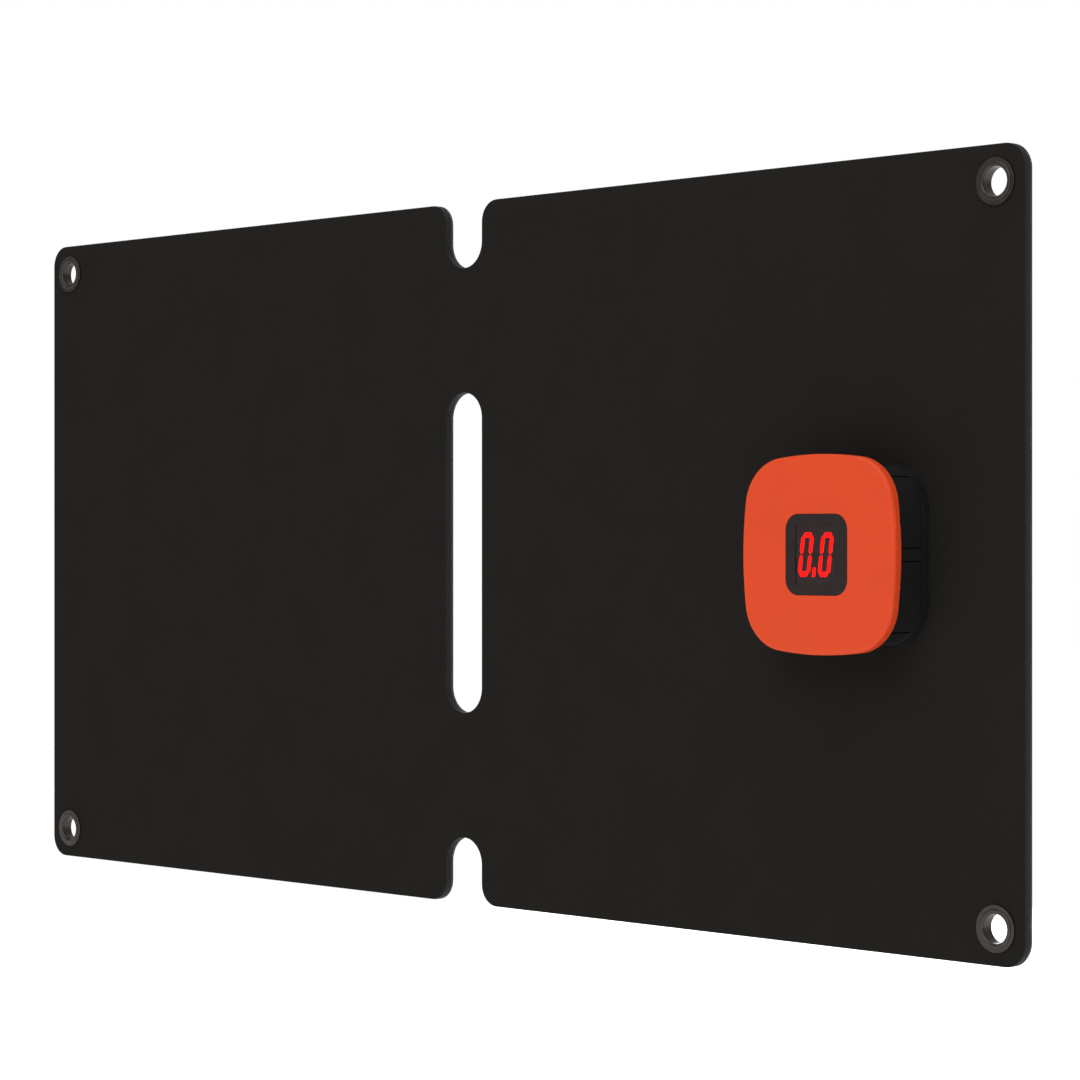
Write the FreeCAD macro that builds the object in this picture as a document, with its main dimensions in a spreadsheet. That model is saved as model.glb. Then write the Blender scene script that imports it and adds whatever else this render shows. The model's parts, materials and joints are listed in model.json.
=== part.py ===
import FreeCAD, Part
import math
import os
import sys
import Sketcher
from FreeCAD import Placement, Rotation, Vector

# Two-leaf folding solar charger sheet with a charge controller on its back.
# Frame: X along the open width, Z up, the cells face -Y and the controller stands on the +Y side.
# The origin is the centre of the carry slot, on the middle plane of the sheet. Millimetres.

doc = FreeCAD.newDocument("solar_charger_sheet")
os.makedirs("parts", exist_ok=True)

DIMENSIONS = [
    # the sheet
    ("leaf_outer", 219.0),  # fold line to the outer edge of a leaf
    ("leaf_tall", 219.0),
    ("fold_half", 8.0),  # half width of the slot, the notches and the fold webs
    ("corner_rad", 7.0),
    ("notch_lip_rad", 6.5),
    ("notch_deep", 20.4),
    ("slot_long", 100.0),
    ("web_tip", 2.5),  # how much each pointed tip of a fold web is cut back
    # layers, front to back
    ("film_thick", 0.3),
    ("encap_thick", 0.4),
    ("liner_thick", 0.2),
    ("board_thick", 1.4),
    ("cloth_thick", 0.6),
    ("film_front", 1.45),  # front face of the film, ahead of the middle plane
    # cells and ribbons
    ("array_wide", 182.0),
    ("array_tall", 187.0),
    ("array_rad", 7.0),
    ("array_inner", 20.0),  # fold line to the inner edge of the array
    ("cell_pitch", 31.33),
    ("cell_gap", 1.0),
    ("cell_thick", 0.2),
    ("ribbon_first", 13.3),  # array edge to the first ribbon
    ("ribbon_pitch", 17.27),
    ("ribbon_wide", 1.1),
    ("ribbon_over", 2.3),  # ribbon past the array at each end
    ("collector_tall", 4.0),
    ("collector_deep", 0.2),
    ("conductor_wide", 5.0),
    ("conductor_level", 70.0),
    ("conductor_reach", 11.0),
    # eyelets
    ("eyelet_inset", 10.0),
    ("eyelet_bore", 4.0),
    ("eyelet_barrel", 4.5),
    ("eyelet_flange", 6.4),
    ("eyelet_hole", 4.6),
    ("flange_thick", 0.6),
    ("washer_thick", 0.4),
    ("roll_thick", 0.3),
    # controller, heights above the back cloth
    ("box_off", 161.4),  # fold line to the controller's middle
    ("base_wide", 49.6),
    ("base_rad", 12.0),
    ("base_high", 2.6),
    ("base_floor", 2.0),
    ("pad_wide", 44.0),
    ("pad_rad", 9.0),
    ("pad_thick", 0.8),
    ("case_wide", 48.4),
    ("case_rad", 11.5),
    ("case_wall", 2.8),
    ("case_top", 14.6),
    ("rebate_deep", 1.9),
    ("rebate_half", 21.3),
    ("strap_wide", 3.3),
    ("cover_thick", 1.6),
    ("cover_end", 21.0),
    ("cover_gap", 0.3),
    ("boss_deep", 0.7),
    ("cap_wide", 55.0),
    ("cap_rad", 14.0),
    ("cap_side_rad", 112.0),
    ("cap_top", 18.0),
    ("cap_skin", 2.0),
    ("cap_hollow", 41.0),
    ("window_wide", 22.3),
    ("window_rad", 4.5),
    ("window_thick", 0.5),
    ("window_gap", 0.2),
    ("ledge_wide", 19.6),
    ("ledge_rad", 3.5),
    ("seal_wide", 46.4),
    ("seal_line", 0.9),
    ("seal_deep", 0.5),
    # board and its parts
    ("pcb_wide", 40.0),
    ("pcb_rad", 6.5),
    ("pcb_low", 4.0),
    ("pcb_thick", 1.2),
    ("socket_off", 9.5),
    ("usb_a_wide", 13.2),
    ("usb_a_tall", 5.8),
    ("usb_a_long", 13.6),
    ("usb_a_mid", 7.0),
    ("usb_c_wide", 8.94),
    ("usb_c_tall", 3.26),
    ("usb_c_long", 7.4),
    ("shell_wall", 0.35),
    ("display_wide", 15.0),
    ("display_tall", 17.6),
    ("display_top", 17.15),
    ("display_off", 0.8),
    ("digit_tall", 12.1),
    ("digit_wide", 4.3),
    ("digit_pitch", 7.2),
    ("bar_wide", 1.15),
    ("bar_tall", 1.4),
    ("bar_corner", 0.35),
    ("point_tall", 2.5),
    ("bar_thick", 0.1),
    ("digit_slant", 8.0),
]

sheet = doc.addObject("Spreadsheet::Sheet", "dim")
for row, (alias, value) in enumerate(DIMENSIONS, start=1):
    sheet.set("A%d" % row, alias)
    sheet.set("B%d" % row, str(value))
    sheet.setAlias("B%d" % row, alias)
doc.recompute()


class Q:
    """A size: its expression on the sheet, and its value now."""

    def __init__(self, text, value):
        self.text, self.value = text, value

    def _join(self, other, sign, value):
        other = other if isinstance(other, Q) else Q(repr(float(other)), float(other))
        return Q("(%s %s %s)" % (self.text, sign, other.text), value(self.value, other.value))

    def __add__(self, other):
        return self._join(other, "+", lambda a, b: a + b)

    def __sub__(self, other):
        return self._join(other, "-", lambda a, b: a - b)

    def __mul__(self, other):
        return self._join(other, "*", lambda a, b: a * b)

    def __truediv__(self, other):
        return self._join(other, "/", lambda a, b: a / b)

    def __neg__(self):
        return Q("(0 - %s)" % self.text, -self.value)


class Sizes:
    pass


d = Sizes()
for alias, _ in DIMENSIONS:
    setattr(d, alias, Q("dim." + alias, float(sheet.get(alias))))
ZERO = Q("0", 0.0)


def q(x):
    return x if isinstance(x, Q) else Q(repr(float(x)), float(x))


def bind(obj, prop, size):
    size = q(size)
    obj.setExpression(prop, size.text)


def put(obj, x=0.0, y=0.0, z=0.0, rotation=None):
    """Places an object at sizes from the sheet."""
    x, y, z = q(x), q(y), q(z)
    obj.Placement = Placement(Vector(x.value, y.value, z.value), rotation or Rotation())
    bind(obj, "Placement.Base.x", x)
    bind(obj, "Placement.Base.y", y)
    bind(obj, "Placement.Base.z", z)
    return obj


def new_body(name):
    return doc.addObject("PartDesign::Body", name)


def origin_plane(body, role):
    for feature in body.Origin.OriginFeatures:
        if feature.Role == role:
            return feature
    raise RuntimeError("no plane " + role)


def new_sketch(body, name, role="XZ_Plane", level=0.0, x=0.0, z=0.0):
    """A sketch across Y. Its own x is X and its own y is Z, and level is how far along +Y it lies."""
    sketch = body.newObject("Sketcher::SketchObject", name)
    sketch.AttachmentSupport = [(origin_plane(body, role), "")]
    sketch.MapMode = "FlatFace"
    level, x, z = q(level), q(x), q(z)
    sketch.AttachmentOffset = Placement(Vector(x.value, z.value, -level.value), Rotation())
    bind(sketch, "AttachmentOffset.Base.x", x)
    bind(sketch, "AttachmentOffset.Base.y", z)
    bind(sketch, "AttachmentOffset.Base.z", -level)
    return sketch


def hold(sketch, kind, *refs, size=None):
    """Adds a constraint; a size is bound to the sheet."""
    if size is None:
        return sketch.addConstraint(Sketcher.Constraint(kind, *refs))
    size = q(size)
    index = sketch.addConstraint(Sketcher.Constraint(kind, *refs, size.value))
    sketch.setExpression("Constraints[%d]" % index, size.text)
    return index


def draw_round_rect(sketch, wide, tall, rad_low_x, rad_high_x):
    """A rectangle about the sketch's origin, its corners rounded by one radius on the -x side and one on the +x side."""
    wide, tall, ra, rb = q(wide), q(tall), q(rad_low_x), q(rad_high_x)
    w, t, a, b = wide.value / 2, tall.value / 2, ra.value, rb.value
    n = sketch.GeometryCount
    up, across = Vector(0, 0, 1), Vector
    line = lambda p, s: sketch.addGeometry(Part.LineSegment(across(*p, 0), across(*s, 0)), False)
    arc = lambda c, r, s, e: sketch.addGeometry(
        Part.ArcOfCircle(Part.Circle(across(*c, 0), up, r), math.radians(s), math.radians(e)), False
    )
    bottom = line((-w + a, -t), (w - b, -t))
    low_right = arc((w - b, -t + b), b, 270, 360)
    right = line((w, -t + b), (w, t - b))
    top_right = arc((w - b, t - b), b, 0, 90)
    top = line((w - b, t), (-w + a, t))
    top_left = arc((-w + a, t - a), a, 90, 180)
    left = line((-w, t - a), (-w, -t + a))
    low_left = arc((-w + a, -t + a), a, 180, 270)
    for one, two in (
        ((bottom, 2), (low_right, 1)),
        ((low_right, 2), (right, 1)),
        ((right, 2), (top_right, 1)),
        ((top_right, 2), (top, 1)),
        ((top, 2), (top_left, 1)),
        ((top_left, 2), (left, 1)),
        ((left, 2), (low_left, 1)),
        ((low_left, 2), (bottom, 1)),
    ):
        hold(sketch, "Tangent", *one, *two)
    hold(sketch, "Horizontal", bottom)
    hold(sketch, "Horizontal", top)
    hold(sketch, "Vertical", left)
    hold(sketch, "Vertical", right)
    hold(sketch, "Equal", low_left, top_left)
    hold(sketch, "Equal", low_right, top_right)
    hold(sketch, "Radius", low_left, size=ra)
    hold(sketch, "Radius", low_right, size=rb)
    hold(sketch, "DistanceX", left, 1, -1, 1, size=wide / 2)
    hold(sketch, "DistanceX", -1, 1, right, 1, size=wide / 2)
    hold(sketch, "DistanceY", bottom, 1, -1, 1, size=tall / 2)
    hold(sketch, "DistanceY", -1, 1, top, 1, size=tall / 2)
    return n


def draw_circle(sketch, x, z, rad):
    """A circle at signed offsets from the sketch's origin."""
    x, z, rad = q(x), q(z), q(rad)
    c = sketch.addGeometry(
        Part.Circle(Vector(x.value, z.value, 0), Vector(0, 0, 1), rad.value), False
    )
    hold(sketch, "Radius", c, size=rad)
    for kind, s, axis in (("DistanceX", x, -2), ("DistanceY", z, -1)):
        if s.value == 0:
            hold(sketch, "PointOnObject", c, 3, axis)
        elif s.value > 0:
            hold(sketch, kind, -1, 1, c, 3, size=s)
        else:
            hold(sketch, kind, c, 3, -1, 1, size=-s)


def draw_squircle(sketch, wide, side_rad, corner_rad):
    """A square with bulged sides: four long arcs joined by four corner arcs."""
    wide, big, small = q(wide), q(side_rad), q(corner_rad)
    a, R, r = wide.value / 2, big.value, small.value
    c = (-(R - a) + math.sqrt(2 * (R - r) ** 2 - (R - a) ** 2)) / 2
    beta = math.degrees(math.atan2(c, c - a + R))
    up = Vector(0, 0, 1)
    arcs = []
    for k in range(4):
        turn = Rotation(up, 90 * k)
        side = turn.multVec(Vector(a - R, 0, 0))
        corner = turn.multVec(Vector(c, c, 0))
        arcs.append(
            sketch.addGeometry(
                Part.ArcOfCircle(
                    Part.Circle(side, up, R),
                    math.radians(90 * k - beta),
                    math.radians(90 * k + beta),
                ),
                False,
            )
        )
        arcs.append(
            sketch.addGeometry(
                Part.ArcOfCircle(
                    Part.Circle(corner, up, r),
                    math.radians(90 * k + beta),
                    math.radians(90 * k + 90 - beta),
                ),
                False,
            )
        )
    for k in range(8):
        hold(sketch, "Tangent", arcs[k], 2, arcs[(k + 1) % 8], 1)
    for k in (2, 4, 6):
        hold(sketch, "Equal", arcs[0], arcs[k])
        hold(sketch, "Equal", arcs[1], arcs[k + 1])
    hold(sketch, "Radius", arcs[0], size=big)
    hold(sketch, "Radius", arcs[1], size=small)
    hold(sketch, "PointOnObject", arcs[0], 3, -1)
    hold(sketch, "PointOnObject", arcs[4], 3, -1)
    hold(sketch, "PointOnObject", arcs[2], 3, -2)
    hold(sketch, "PointOnObject", arcs[6], 3, -2)
    away = big - wide / 2
    hold(sketch, "DistanceX", arcs[0], 3, -1, 1, size=away)
    hold(sketch, "DistanceX", -1, 1, arcs[4], 3, size=away)
    hold(sketch, "DistanceY", arcs[2], 3, -1, 1, size=away)
    hold(sketch, "DistanceY", -1, 1, arcs[6], 3, size=away)


def pad(body, sketch, length, name="Pad"):
    """Adds material from the sketch towards +Y."""
    feature = body.newObject("PartDesign::Pad", body.Name + "_" + name)
    feature.Profile = sketch
    feature.Reversed = True
    feature.Length = q(length).value
    bind(feature, "Length", length)
    sketch.Visibility = False
    doc.recompute()
    return feature


def pocket(body, sketch, length, name="Pocket"):
    """Removes material from the sketch towards +Y, and makes sure that it did."""
    before = body.Shape.Volume
    feature = body.newObject("PartDesign::Pocket", body.Name + "_" + name)
    feature.Profile = sketch
    feature.Length = q(length).value
    bind(feature, "Length", length)
    sketch.Visibility = False
    doc.recompute()
    if not body.Shape.Volume < before - 1e-6:
        raise RuntimeError(feature.Name + " removed nothing")
    return feature


def plate(name, wide, tall, rad_a, rad_b, level, thick, holes=()):
    """A rounded plate across Y, with round holes."""
    body = new_body(name)
    outline = new_sketch(body, name + "_outline", level=level)
    draw_round_rect(outline, wide, tall, rad_a, rad_b)
    pad(body, outline, thick)
    if holes:
        drill = new_sketch(body, name + "_holes", level=level)
        for x, z, rad in holes:
            draw_circle(drill, x, z, rad)
        pocket(body, drill, thick)
    return body


def block(name, wide, deep, tall, x, y, z):
    """A box from its middle: wide along X, deep along Y, tall along Z."""
    wide, deep, tall, x, y, z = (q(s) for s in (wide, deep, tall, x, y, z))
    box = doc.addObject("Part::Box", name)
    bind(box, "Length", wide)
    bind(box, "Width", deep)
    bind(box, "Height", tall)
    put(box, x - wide / 2, y - deep / 2, z - tall / 2)
    return box


def rod(name, rad, long, x, y, z):
    """A cylinder along +Y from y."""
    c = doc.addObject("Part::Cylinder", name)
    bind(c, "Radius", rad)
    bind(c, "Height", long)
    return put(c, x, y, z, Rotation(Vector(1, 0, 0), -90))


def group(name, *members):
    g = doc.addObject("Part::Compound", name)
    g.Links = list(members)
    return g


def fuse(name, *members):
    f = doc.addObject("Part::MultiFuse", name)
    f.Shapes = list(members)
    return f


def cut(name, base, *tools):
    c = doc.addObject("Part::Cut", name)
    c.Base = base
    c.Tool = tools[0] if len(tools) == 1 else group(name + "_tools", *tools)
    return c


def common(name, base, tool):
    c = doc.addObject("Part::Common", name)
    c.Base = base
    c.Tool = tool
    return c


def mirror(name, source, normal):
    m = doc.addObject("Part::Mirroring", name)
    m.Source = source
    m.Base = Vector(0, 0, 0)
    m.Normal = normal
    return m


NODES = []


def node(obj, label):
    obj.Label = label
    NODES.append(obj)
    return obj


ACROSS, UP = Vector(1, 0, 0), Vector(0, 0, 1)

# ---------------------------------------------------------------- the leaf with the controller

leaf_wide = d.leaf_outer - d.fold_half
leaf_mid = -(d.leaf_outer + d.fold_half) / 2
y_film = -d.film_front
y_encap = y_film + d.film_thick
y_liner = y_encap + d.encap_thick
y_board = y_liner + d.liner_thick
y_cloth = y_board + d.board_thick
y_back = y_cloth + d.cloth_thick
eye_x = (d.leaf_outer - d.eyelet_inset) + leaf_mid  # from the leaf's middle outwards
eye_z = d.leaf_tall / 2 - d.eyelet_inset
EYE_HOLES = ((-eye_x, eye_z, d.eyelet_hole), (-eye_x, -eye_z, d.eyelet_hole))


def leaf_layer(name, level, thick):
    body = plate(
        name, leaf_wide, d.leaf_tall, d.corner_rad, d.notch_lip_rad, level, thick, EYE_HOLES
    )
    return put(body, leaf_mid)


front_film_left = leaf_layer("FrontFilmLeft", y_film, d.film_thick)
encap_blank = leaf_layer("EncapsulantBlank", y_encap, d.encap_thick)
liner_left = leaf_layer("LinerLeft", y_liner, d.liner_thick)
board_blank = leaf_layer("BoardBlank", y_board, d.board_thick)
cloth_blank = leaf_layer("ClothBlank", y_cloth, d.cloth_thick)

# six strips cut from one square-ish array, on the liner
array_mid = -(d.array_inner + d.array_wide / 2)
array_blank = plate(
    "ArrayBlank",
    d.array_wide,
    d.array_tall,
    d.array_rad,
    d.array_rad,
    y_liner - d.cell_thick,
    d.cell_thick,
)
put(array_blank, array_mid)
gaps = [
    block(
        "CellGap%d" % k,
        d.array_wide + 4,
        d.cell_thick * 4,
        d.cell_gap,
        array_mid,
        y_liner - d.cell_thick / 2,
        d.cell_pitch * (k - 2),
    )
    for k in range(5)
]
cells_left = cut("CellsLeft", array_blank, *gaps)

# ten tinned ribbons over the cells
ribbon_thick = d.encap_thick - d.cell_thick
ribbons = [
    block(
        "Ribbon%d" % k,
        d.ribbon_wide,
        ribbon_thick,
        d.array_tall + d.ribbon_over * 2,
        -(d.array_inner + d.ribbon_first + d.ribbon_pitch * k),
        y_encap + ribbon_thick / 2,
        0,
    )
    for k in range(10)
]
ribbons_left = group("RibbonsLeft", *ribbons)
encapsulant_left = cut("EncapsulantLeft", encap_blank, cells_left, ribbons_left)

# collectors in the front of the stiffener board, each with a leg down to the fold conductor
collector_z = d.array_tall / 2 + d.ribbon_over / 2
collectors = []
for sign in (1, -1):
    across = block(
        "CollectorAcross%s" % ("Upper" if sign > 0 else "Lower"),
        d.array_inner + d.array_wide - d.conductor_reach - 4,
        d.collector_deep,
        d.collector_tall,
        -(d.array_inner + d.array_wide + d.conductor_reach - 4) / 2,
        y_board + d.collector_deep / 2,
        collector_z * sign,
    )
    leg = block(
        "CollectorLeg%s" % ("Upper" if sign > 0 else "Lower"),
        d.collector_tall,
        d.collector_deep,
        collector_z - d.conductor_level + d.conductor_wide / 2 + d.collector_tall / 2,
        -(d.conductor_reach + d.collector_tall / 2),
        y_board + d.collector_deep / 2,
        (collector_z + d.conductor_level + d.collector_tall / 2 - d.conductor_wide / 2) * (sign / 2),
    )
    collectors.append(fuse("Collector%s" % ("Upper" if sign > 0 else "Lower"), across, leg))
collectors_left = group("CollectorsLeft", *collectors)

conductors = [
    block(
        "Conductor%s" % ("Upper" if sign > 0 else "Lower"),
        d.conductor_reach * 2,
        d.collector_deep,
        d.conductor_wide,
        0,
        y_board + d.collector_deep / 2,
        d.conductor_level * sign,
    )
    for sign in (1, -1)
]
fold_conductors = group("FoldConductors", *conductors)
stiffener_left = cut("StiffenerLeft", board_blank, collectors_left, fold_conductors)

# eyelets: a barrel with a flange in front, rolled over a washer behind
eyelet = new_body("Eyelet")
profile = eyelet.newObject("Sketcher::SketchObject", "EyeletProfile")
profile.AttachmentSupport = [(origin_plane(eyelet, "XY_Plane"), "")]
profile.MapMode = "FlatFace"
bore, barrel, flange = d.eyelet_bore, d.eyelet_barrel, d.eyelet_flange
front, flat = -d.film_front - d.flange_thick, -d.film_front
seat, rolled = y_back + d.washer_thick, y_back + d.washer_thick + d.roll_thick
lip = barrel - bore
EYELET_PATH = [
    # (x, y) corners; every other piece is an arc through its middle point
    (bore, front + lip),
    (bore, rolled - lip),
    (barrel, rolled),
    (barrel + 0.5, rolled),
    (barrel + 0.8, seat),
    (barrel, seat),
    (barrel, flat),
    (flange, flat),
    (flange - d.flange_thick, front),
    (barrel, front),
]
ARC_AFTER = {1: (bore + lip, rolled - lip), 3: (barrel + 0.5, seat), 7: (flange - d.flange_thick, flat), 9: (barrel, front + lip)}
TURN = {1: (90, 180), 3: (0, 90), 7: (270, 360), 9: (180, 270)}
count = len(EYELET_PATH)
made = []
for k in range(count):
    (xa, ya), (xb, yb) = EYELET_PATH[k], EYELET_PATH[(k + 1) % count]
    if k in ARC_AFTER:
        cx, cy = ARC_AFTER[k]
        rad = abs(xa.value - xb.value)
        start, end = TURN[k]
        made.append(
            profile.addGeometry(
                Part.ArcOfCircle(
                    Part.Circle(Vector(cx.value, cy.value, 0), Vector(0, 0, 1), rad),
                    math.radians(start),
                    math.radians(end),
                ),
                False,
            )
        )
    else:
        made.append(
            profile.addGeometry(
                Part.LineSegment(Vector(xa.value, ya.value, 0), Vector(xb.value, yb.value, 0)), False
            )
        )
# arcs run anticlockwise, so the end that meets the piece before differs from arc to arc
STARTS = {k: 1 for k in range(count)}
for k in ARC_AFTER:
    (xa, ya) = EYELET_PATH[k]
    arc = profile.Geometry[made[k]]
    STARTS[k] = 1 if arc.StartPoint.distanceToPoint(Vector(xa.value, ya.value, 0)) < 1e-6 else 2
for k in range(count):
    nxt = (k + 1) % count
    hold(profile, "Coincident", made[k], 3 - STARTS[k], made[nxt], STARTS[nxt])
for k, (x, y) in enumerate(EYELET_PATH):
    hold(profile, "DistanceX", -1, 1, made[k], STARTS[k], size=x)
    if y.value > 0:
        hold(profile, "DistanceY", -1, 1, made[k], STARTS[k], size=y)
    else:
        hold(profile, "DistanceY", made[k], STARTS[k], -1, 1, size=-y)
for k in ARC_AFTER:
    hold(profile, "DistanceX", -1, 1, made[k], 3, size=ARC_AFTER[k][0])
turned = eyelet.newObject("PartDesign::Revolution", "EyeletTurned")
turned.Profile = profile
turned.ReferenceAxis = (profile, ["V_Axis"])
turned.Angle = 360
profile.Visibility = False
put(eyelet, -(d.leaf_outer - d.eyelet_inset), 0, eye_z)
doc.recompute()
eyelets_left = group("EyeletsLeft", eyelet, mirror("EyeletLow", eyelet, UP))

washer_rim = rod("WasherRim", flange, d.washer_thick, -(d.leaf_outer - d.eyelet_inset), y_back, eye_z)
washer_hole = rod(
    "WasherHole", d.eyelet_hole, d.washer_thick * 3, -(d.leaf_outer - d.eyelet_inset), y_back - d.washer_thick, eye_z
)
washer = cut("Washer", washer_rim, washer_hole)
washers_left = group("WashersLeft", washer, mirror("WasherLow", washer, UP))

# ---------------------------------------------------------------- the plain leaf, the mirror image

RIGHT = [
    ("FrontFilmRight", front_film_left, "front_film_right"),
    ("EncapsulantRight", encapsulant_left, "encapsulant_right"),
    ("CellsRight", cells_left, "solar_cells_right"),
    ("RibbonsRight", ribbons_left, "cell_ribbons_right"),
    ("LinerRight", liner_left, "backing_liner_right"),
    ("CollectorsRight", collectors_left, "collector_ribbons_right"),
    ("StiffenerRight", stiffener_left, "stiffener_board_right"),
    ("ClothRight", cloth_blank, "back_cloth_right"),
    ("EyeletsRight", eyelets_left, "eyelets_right"),
    ("WashersRight", washers_left, "eyelet_washers_right"),
]

# ---------------------------------------------------------------- the fold webs


def web(name, sign):
    """The cloth left between a notch and the slot, with their round ends cut into it. Its four tips are blunt."""
    rad = d.fold_half
    notch_c = d.leaf_tall / 2 - d.notch_deep + rad  # centre of the notch's round end
    slot_c = d.slot_long / 2 - rad
    strip = block(
        name + "Strip",
        d.fold_half * 2,
        y_back - y_film,
        notch_c - slot_c - d.web_tip * 2,
        0,
        (y_back + y_film) / 2,
        (notch_c + slot_c) * (sign / 2),
    )
    ends = [
        rod(name + "NotchEnd", rad, d.encap_thick + 6, 0, -3, notch_c * sign),
        rod(name + "SlotEnd", rad, d.encap_thick + 6, 0, -3, slot_c * sign),
    ]
    return cut(name, strip, *ends)


web_upper = cut("WebUpper", web("WebUpperBlank", 1), conductors[0])
web_lower = cut("WebLower", web("WebLowerBlank", -1), conductors[1])

# ---------------------------------------------------------------- the controller

box_x = -d.box_off
case_half = d.case_wide / 2


def boxed(name, wide, rad, low, high, holes=()):
    """A rounded square of the controller, from one height above the back cloth to another."""
    body = plate(name, wide, wide, rad, rad, low, high - low, holes)
    return put(body, box_x, y_back)


def sink(body, name, wide, tall, rad, low, high, x=0.0, z=0.0):
    """A rounded pocket in a controller body, from one height to another."""
    s = new_sketch(body, body.Name + "_" + name + "_outline", level=low, x=x, z=z)
    draw_round_rect(s, wide, tall, rad, rad)
    pocket(body, s, high - low, name)


# two flat leads come up from the leaf through the floor
LEADS = (3.0, -3.0)
lead_low, lead_high = -d.cloth_thick, d.pcb_low
lead_x = box_x + 13.0
leads = [
    block("Lead%d" % k, 0.4, lead_high - lead_low, 3.0, lead_x, y_back + (lead_high + lead_low) / 2, z)
    for k, z in enumerate(LEADS)
]
lead_tabs = group("LeadTabs", *leads)
lead_way = block("LeadWay", 2.4, 6.0, 11.0, lead_x, y_back + 1.0, 0)
cloth_way = block("ClothWay", 0.4, d.cloth_thick, 3.0, lead_x, y_back - d.cloth_thick / 2, LEADS[0])
cloth_way_low = block("ClothWayLow", 0.4, d.cloth_thick, 3.0, lead_x, y_back - d.cloth_thick / 2, LEADS[1])
back_cloth_left = cut("BackClothLeft", cloth_blank, cloth_way, cloth_way_low)

pad_blank = boxed("AdhesivePadBlank", d.pad_wide, d.pad_rad, ZERO, d.pad_thick)
adhesive_pad = cut("AdhesivePad", pad_blank, lead_way)

SCREWS = ((15.0, 16.5), (15.0, -16.5), (-16.0, -0.9))
base_blank = boxed("BaseBlank", d.base_wide, d.base_rad, ZERO, d.base_high)
sink(base_blank, "PadSeat", d.pad_wide + 0.2, d.pad_wide + 0.2, d.pad_rad + 0.1, ZERO, d.pad_thick)
sink(base_blank, "Tray", d.case_wide - d.case_wall * 2, d.case_wide - d.case_wall * 2, d.case_rad - d.case_wall, d.base_floor, d.base_high)
posts = [
    rod("Post%d" % k, 2.1, d.pcb_low - d.base_floor, box_x + x, y_back + d.base_floor, z)
    for k, (x, z) in enumerate(SCREWS)
]
base_whole = fuse("BaseWhole", base_blank, *posts)
pilots = [
    rod("Pilot%d" % k, 0.85, d.pcb_low - d.base_floor + 1.0, box_x + x, y_back + d.base_floor - 0.6, z)
    for k, (x, z) in enumerate(SCREWS)
]
controller_base = cut("ControllerBase", base_whole, lead_way, *pilots)

# the case wall, thinned on the side that faces the sheet's outer edge, where the port covers lie
case_blank = boxed("CaseBlank", d.case_wide, d.case_rad, d.base_high, d.case_top)
sink(case_blank, "Hollow", d.case_wide - d.case_wall * 2, d.case_wide - d.case_wall * 2, d.case_rad - d.case_wall, d.base_high, d.case_top)
case_core = boxed("CaseCore", d.case_wide - d.rebate_deep * 2, d.case_rad - d.rebate_deep, d.base_high - 1, d.case_top + 1)
side_zone = block(
    "SideZone",
    14.0,
    d.case_top - d.base_high + 4,
    d.rebate_half * 2,
    box_x - case_half + 6.0,
    y_back + (d.case_top + d.base_high) / 2,
    0,
)
rebate = cut("Rebate", side_zone, case_core)
mouth_a = block("MouthA", 6.0, 6.4, 13.8, box_x - case_half + 2.5, y_back + d.usb_a_mid, d.socket_off)
usb_c_mid = d.pcb_low + d.pcb_thick + d.usb_c_tall / 2
mouth_c = block("MouthC", 6.0, 4.3, 10.0, box_x - case_half + 2.5, y_back + usb_c_mid, -d.socket_off)
controller_case = cut("ControllerCase", case_blank, rebate, mouth_a, mouth_c)

# the covers are slices of the case's own outer wall, so they lie flush with it
skin_outer = boxed("SkinOuter", d.case_wide, d.case_rad, d.base_high + d.cover_gap, d.case_top - d.cover_gap)
sink(skin_outer, "SkinHollow", d.case_wide - d.cover_thick * 2, d.case_wide - d.cover_thick * 2, d.case_rad - d.cover_thick, d.base_high + d.cover_gap, d.case_top - d.cover_gap)
cover_near = d.strap_wide / 2 + d.cover_gap
boss_x = box_x - case_half + d.cover_thick + d.boss_deep / 2


def cover(name, sign, boss_wide, boss_tall, boss_mid):
    zone = block(
        name + "Zone",
        12.0,
        20.0,
        d.cover_end - cover_near,
        box_x - case_half + 5.0,
        y_back + d.case_top / 2,
        (d.cover_end + cover_near) * (sign / 2),
    )
    shell = common(name + "Shell", skin_outer, zone)
    boss = block(
        name + "Boss", d.boss_deep, boss_tall, boss_wide, boss_x, y_back + boss_mid, d.socket_off * sign
    )
    return fuse(name, shell, boss)


cover_upper = cover("CoverUpper", 1, 12.4, 5.2, d.usb_a_mid)
cover_lower = cover("CoverLower", -1, 8.6, 3.2, usb_c_mid)
cover_strap = block(
    "CoverStrap",
    d.rebate_deep,
    d.case_top - d.base_high,
    d.strap_wide,
    box_x - case_half + d.rebate_deep / 2,
    y_back + (d.case_top + d.base_high) / 2,
    0,
)

# the cap: bulged square, hollow below, with a stepped opening for the window
cap = new_body("FrontCap")
cap_outline = new_sketch(cap, "CapOutline", level=d.case_top)
draw_squircle(cap_outline, d.cap_wide, d.cap_side_rad, d.cap_rad)
pad(cap, cap_outline, d.cap_top - d.case_top)
put(cap, box_x, y_back)
doc.recompute()


def outer_edges(shape, level, half):
    """The names of the outline's edges that lie at one height, in the body's own frame."""
    found = []
    for k, e in enumerate(shape.Edges, start=1):
        b = e.BoundBox
        if abs(b.YMin - level) < 1e-4 and abs(b.YMax - level) < 1e-4:
            if max(abs(b.XMin), abs(b.XMax), abs(b.ZMin), abs(b.ZMax)) > half:
                found.append("Edge%d" % k)
    return found


def round_off(body, feature, level, half, rad, name):
    f = body.newObject("PartDesign::Fillet", name)
    edges = outer_edges(feature.Shape, level, half)
    if len(edges) != 8:
        raise RuntimeError("%s found %d edges" % (name, len(edges)))
    f.Base = (feature, edges)
    f.Radius = rad
    doc.recompute()
    return f


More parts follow.
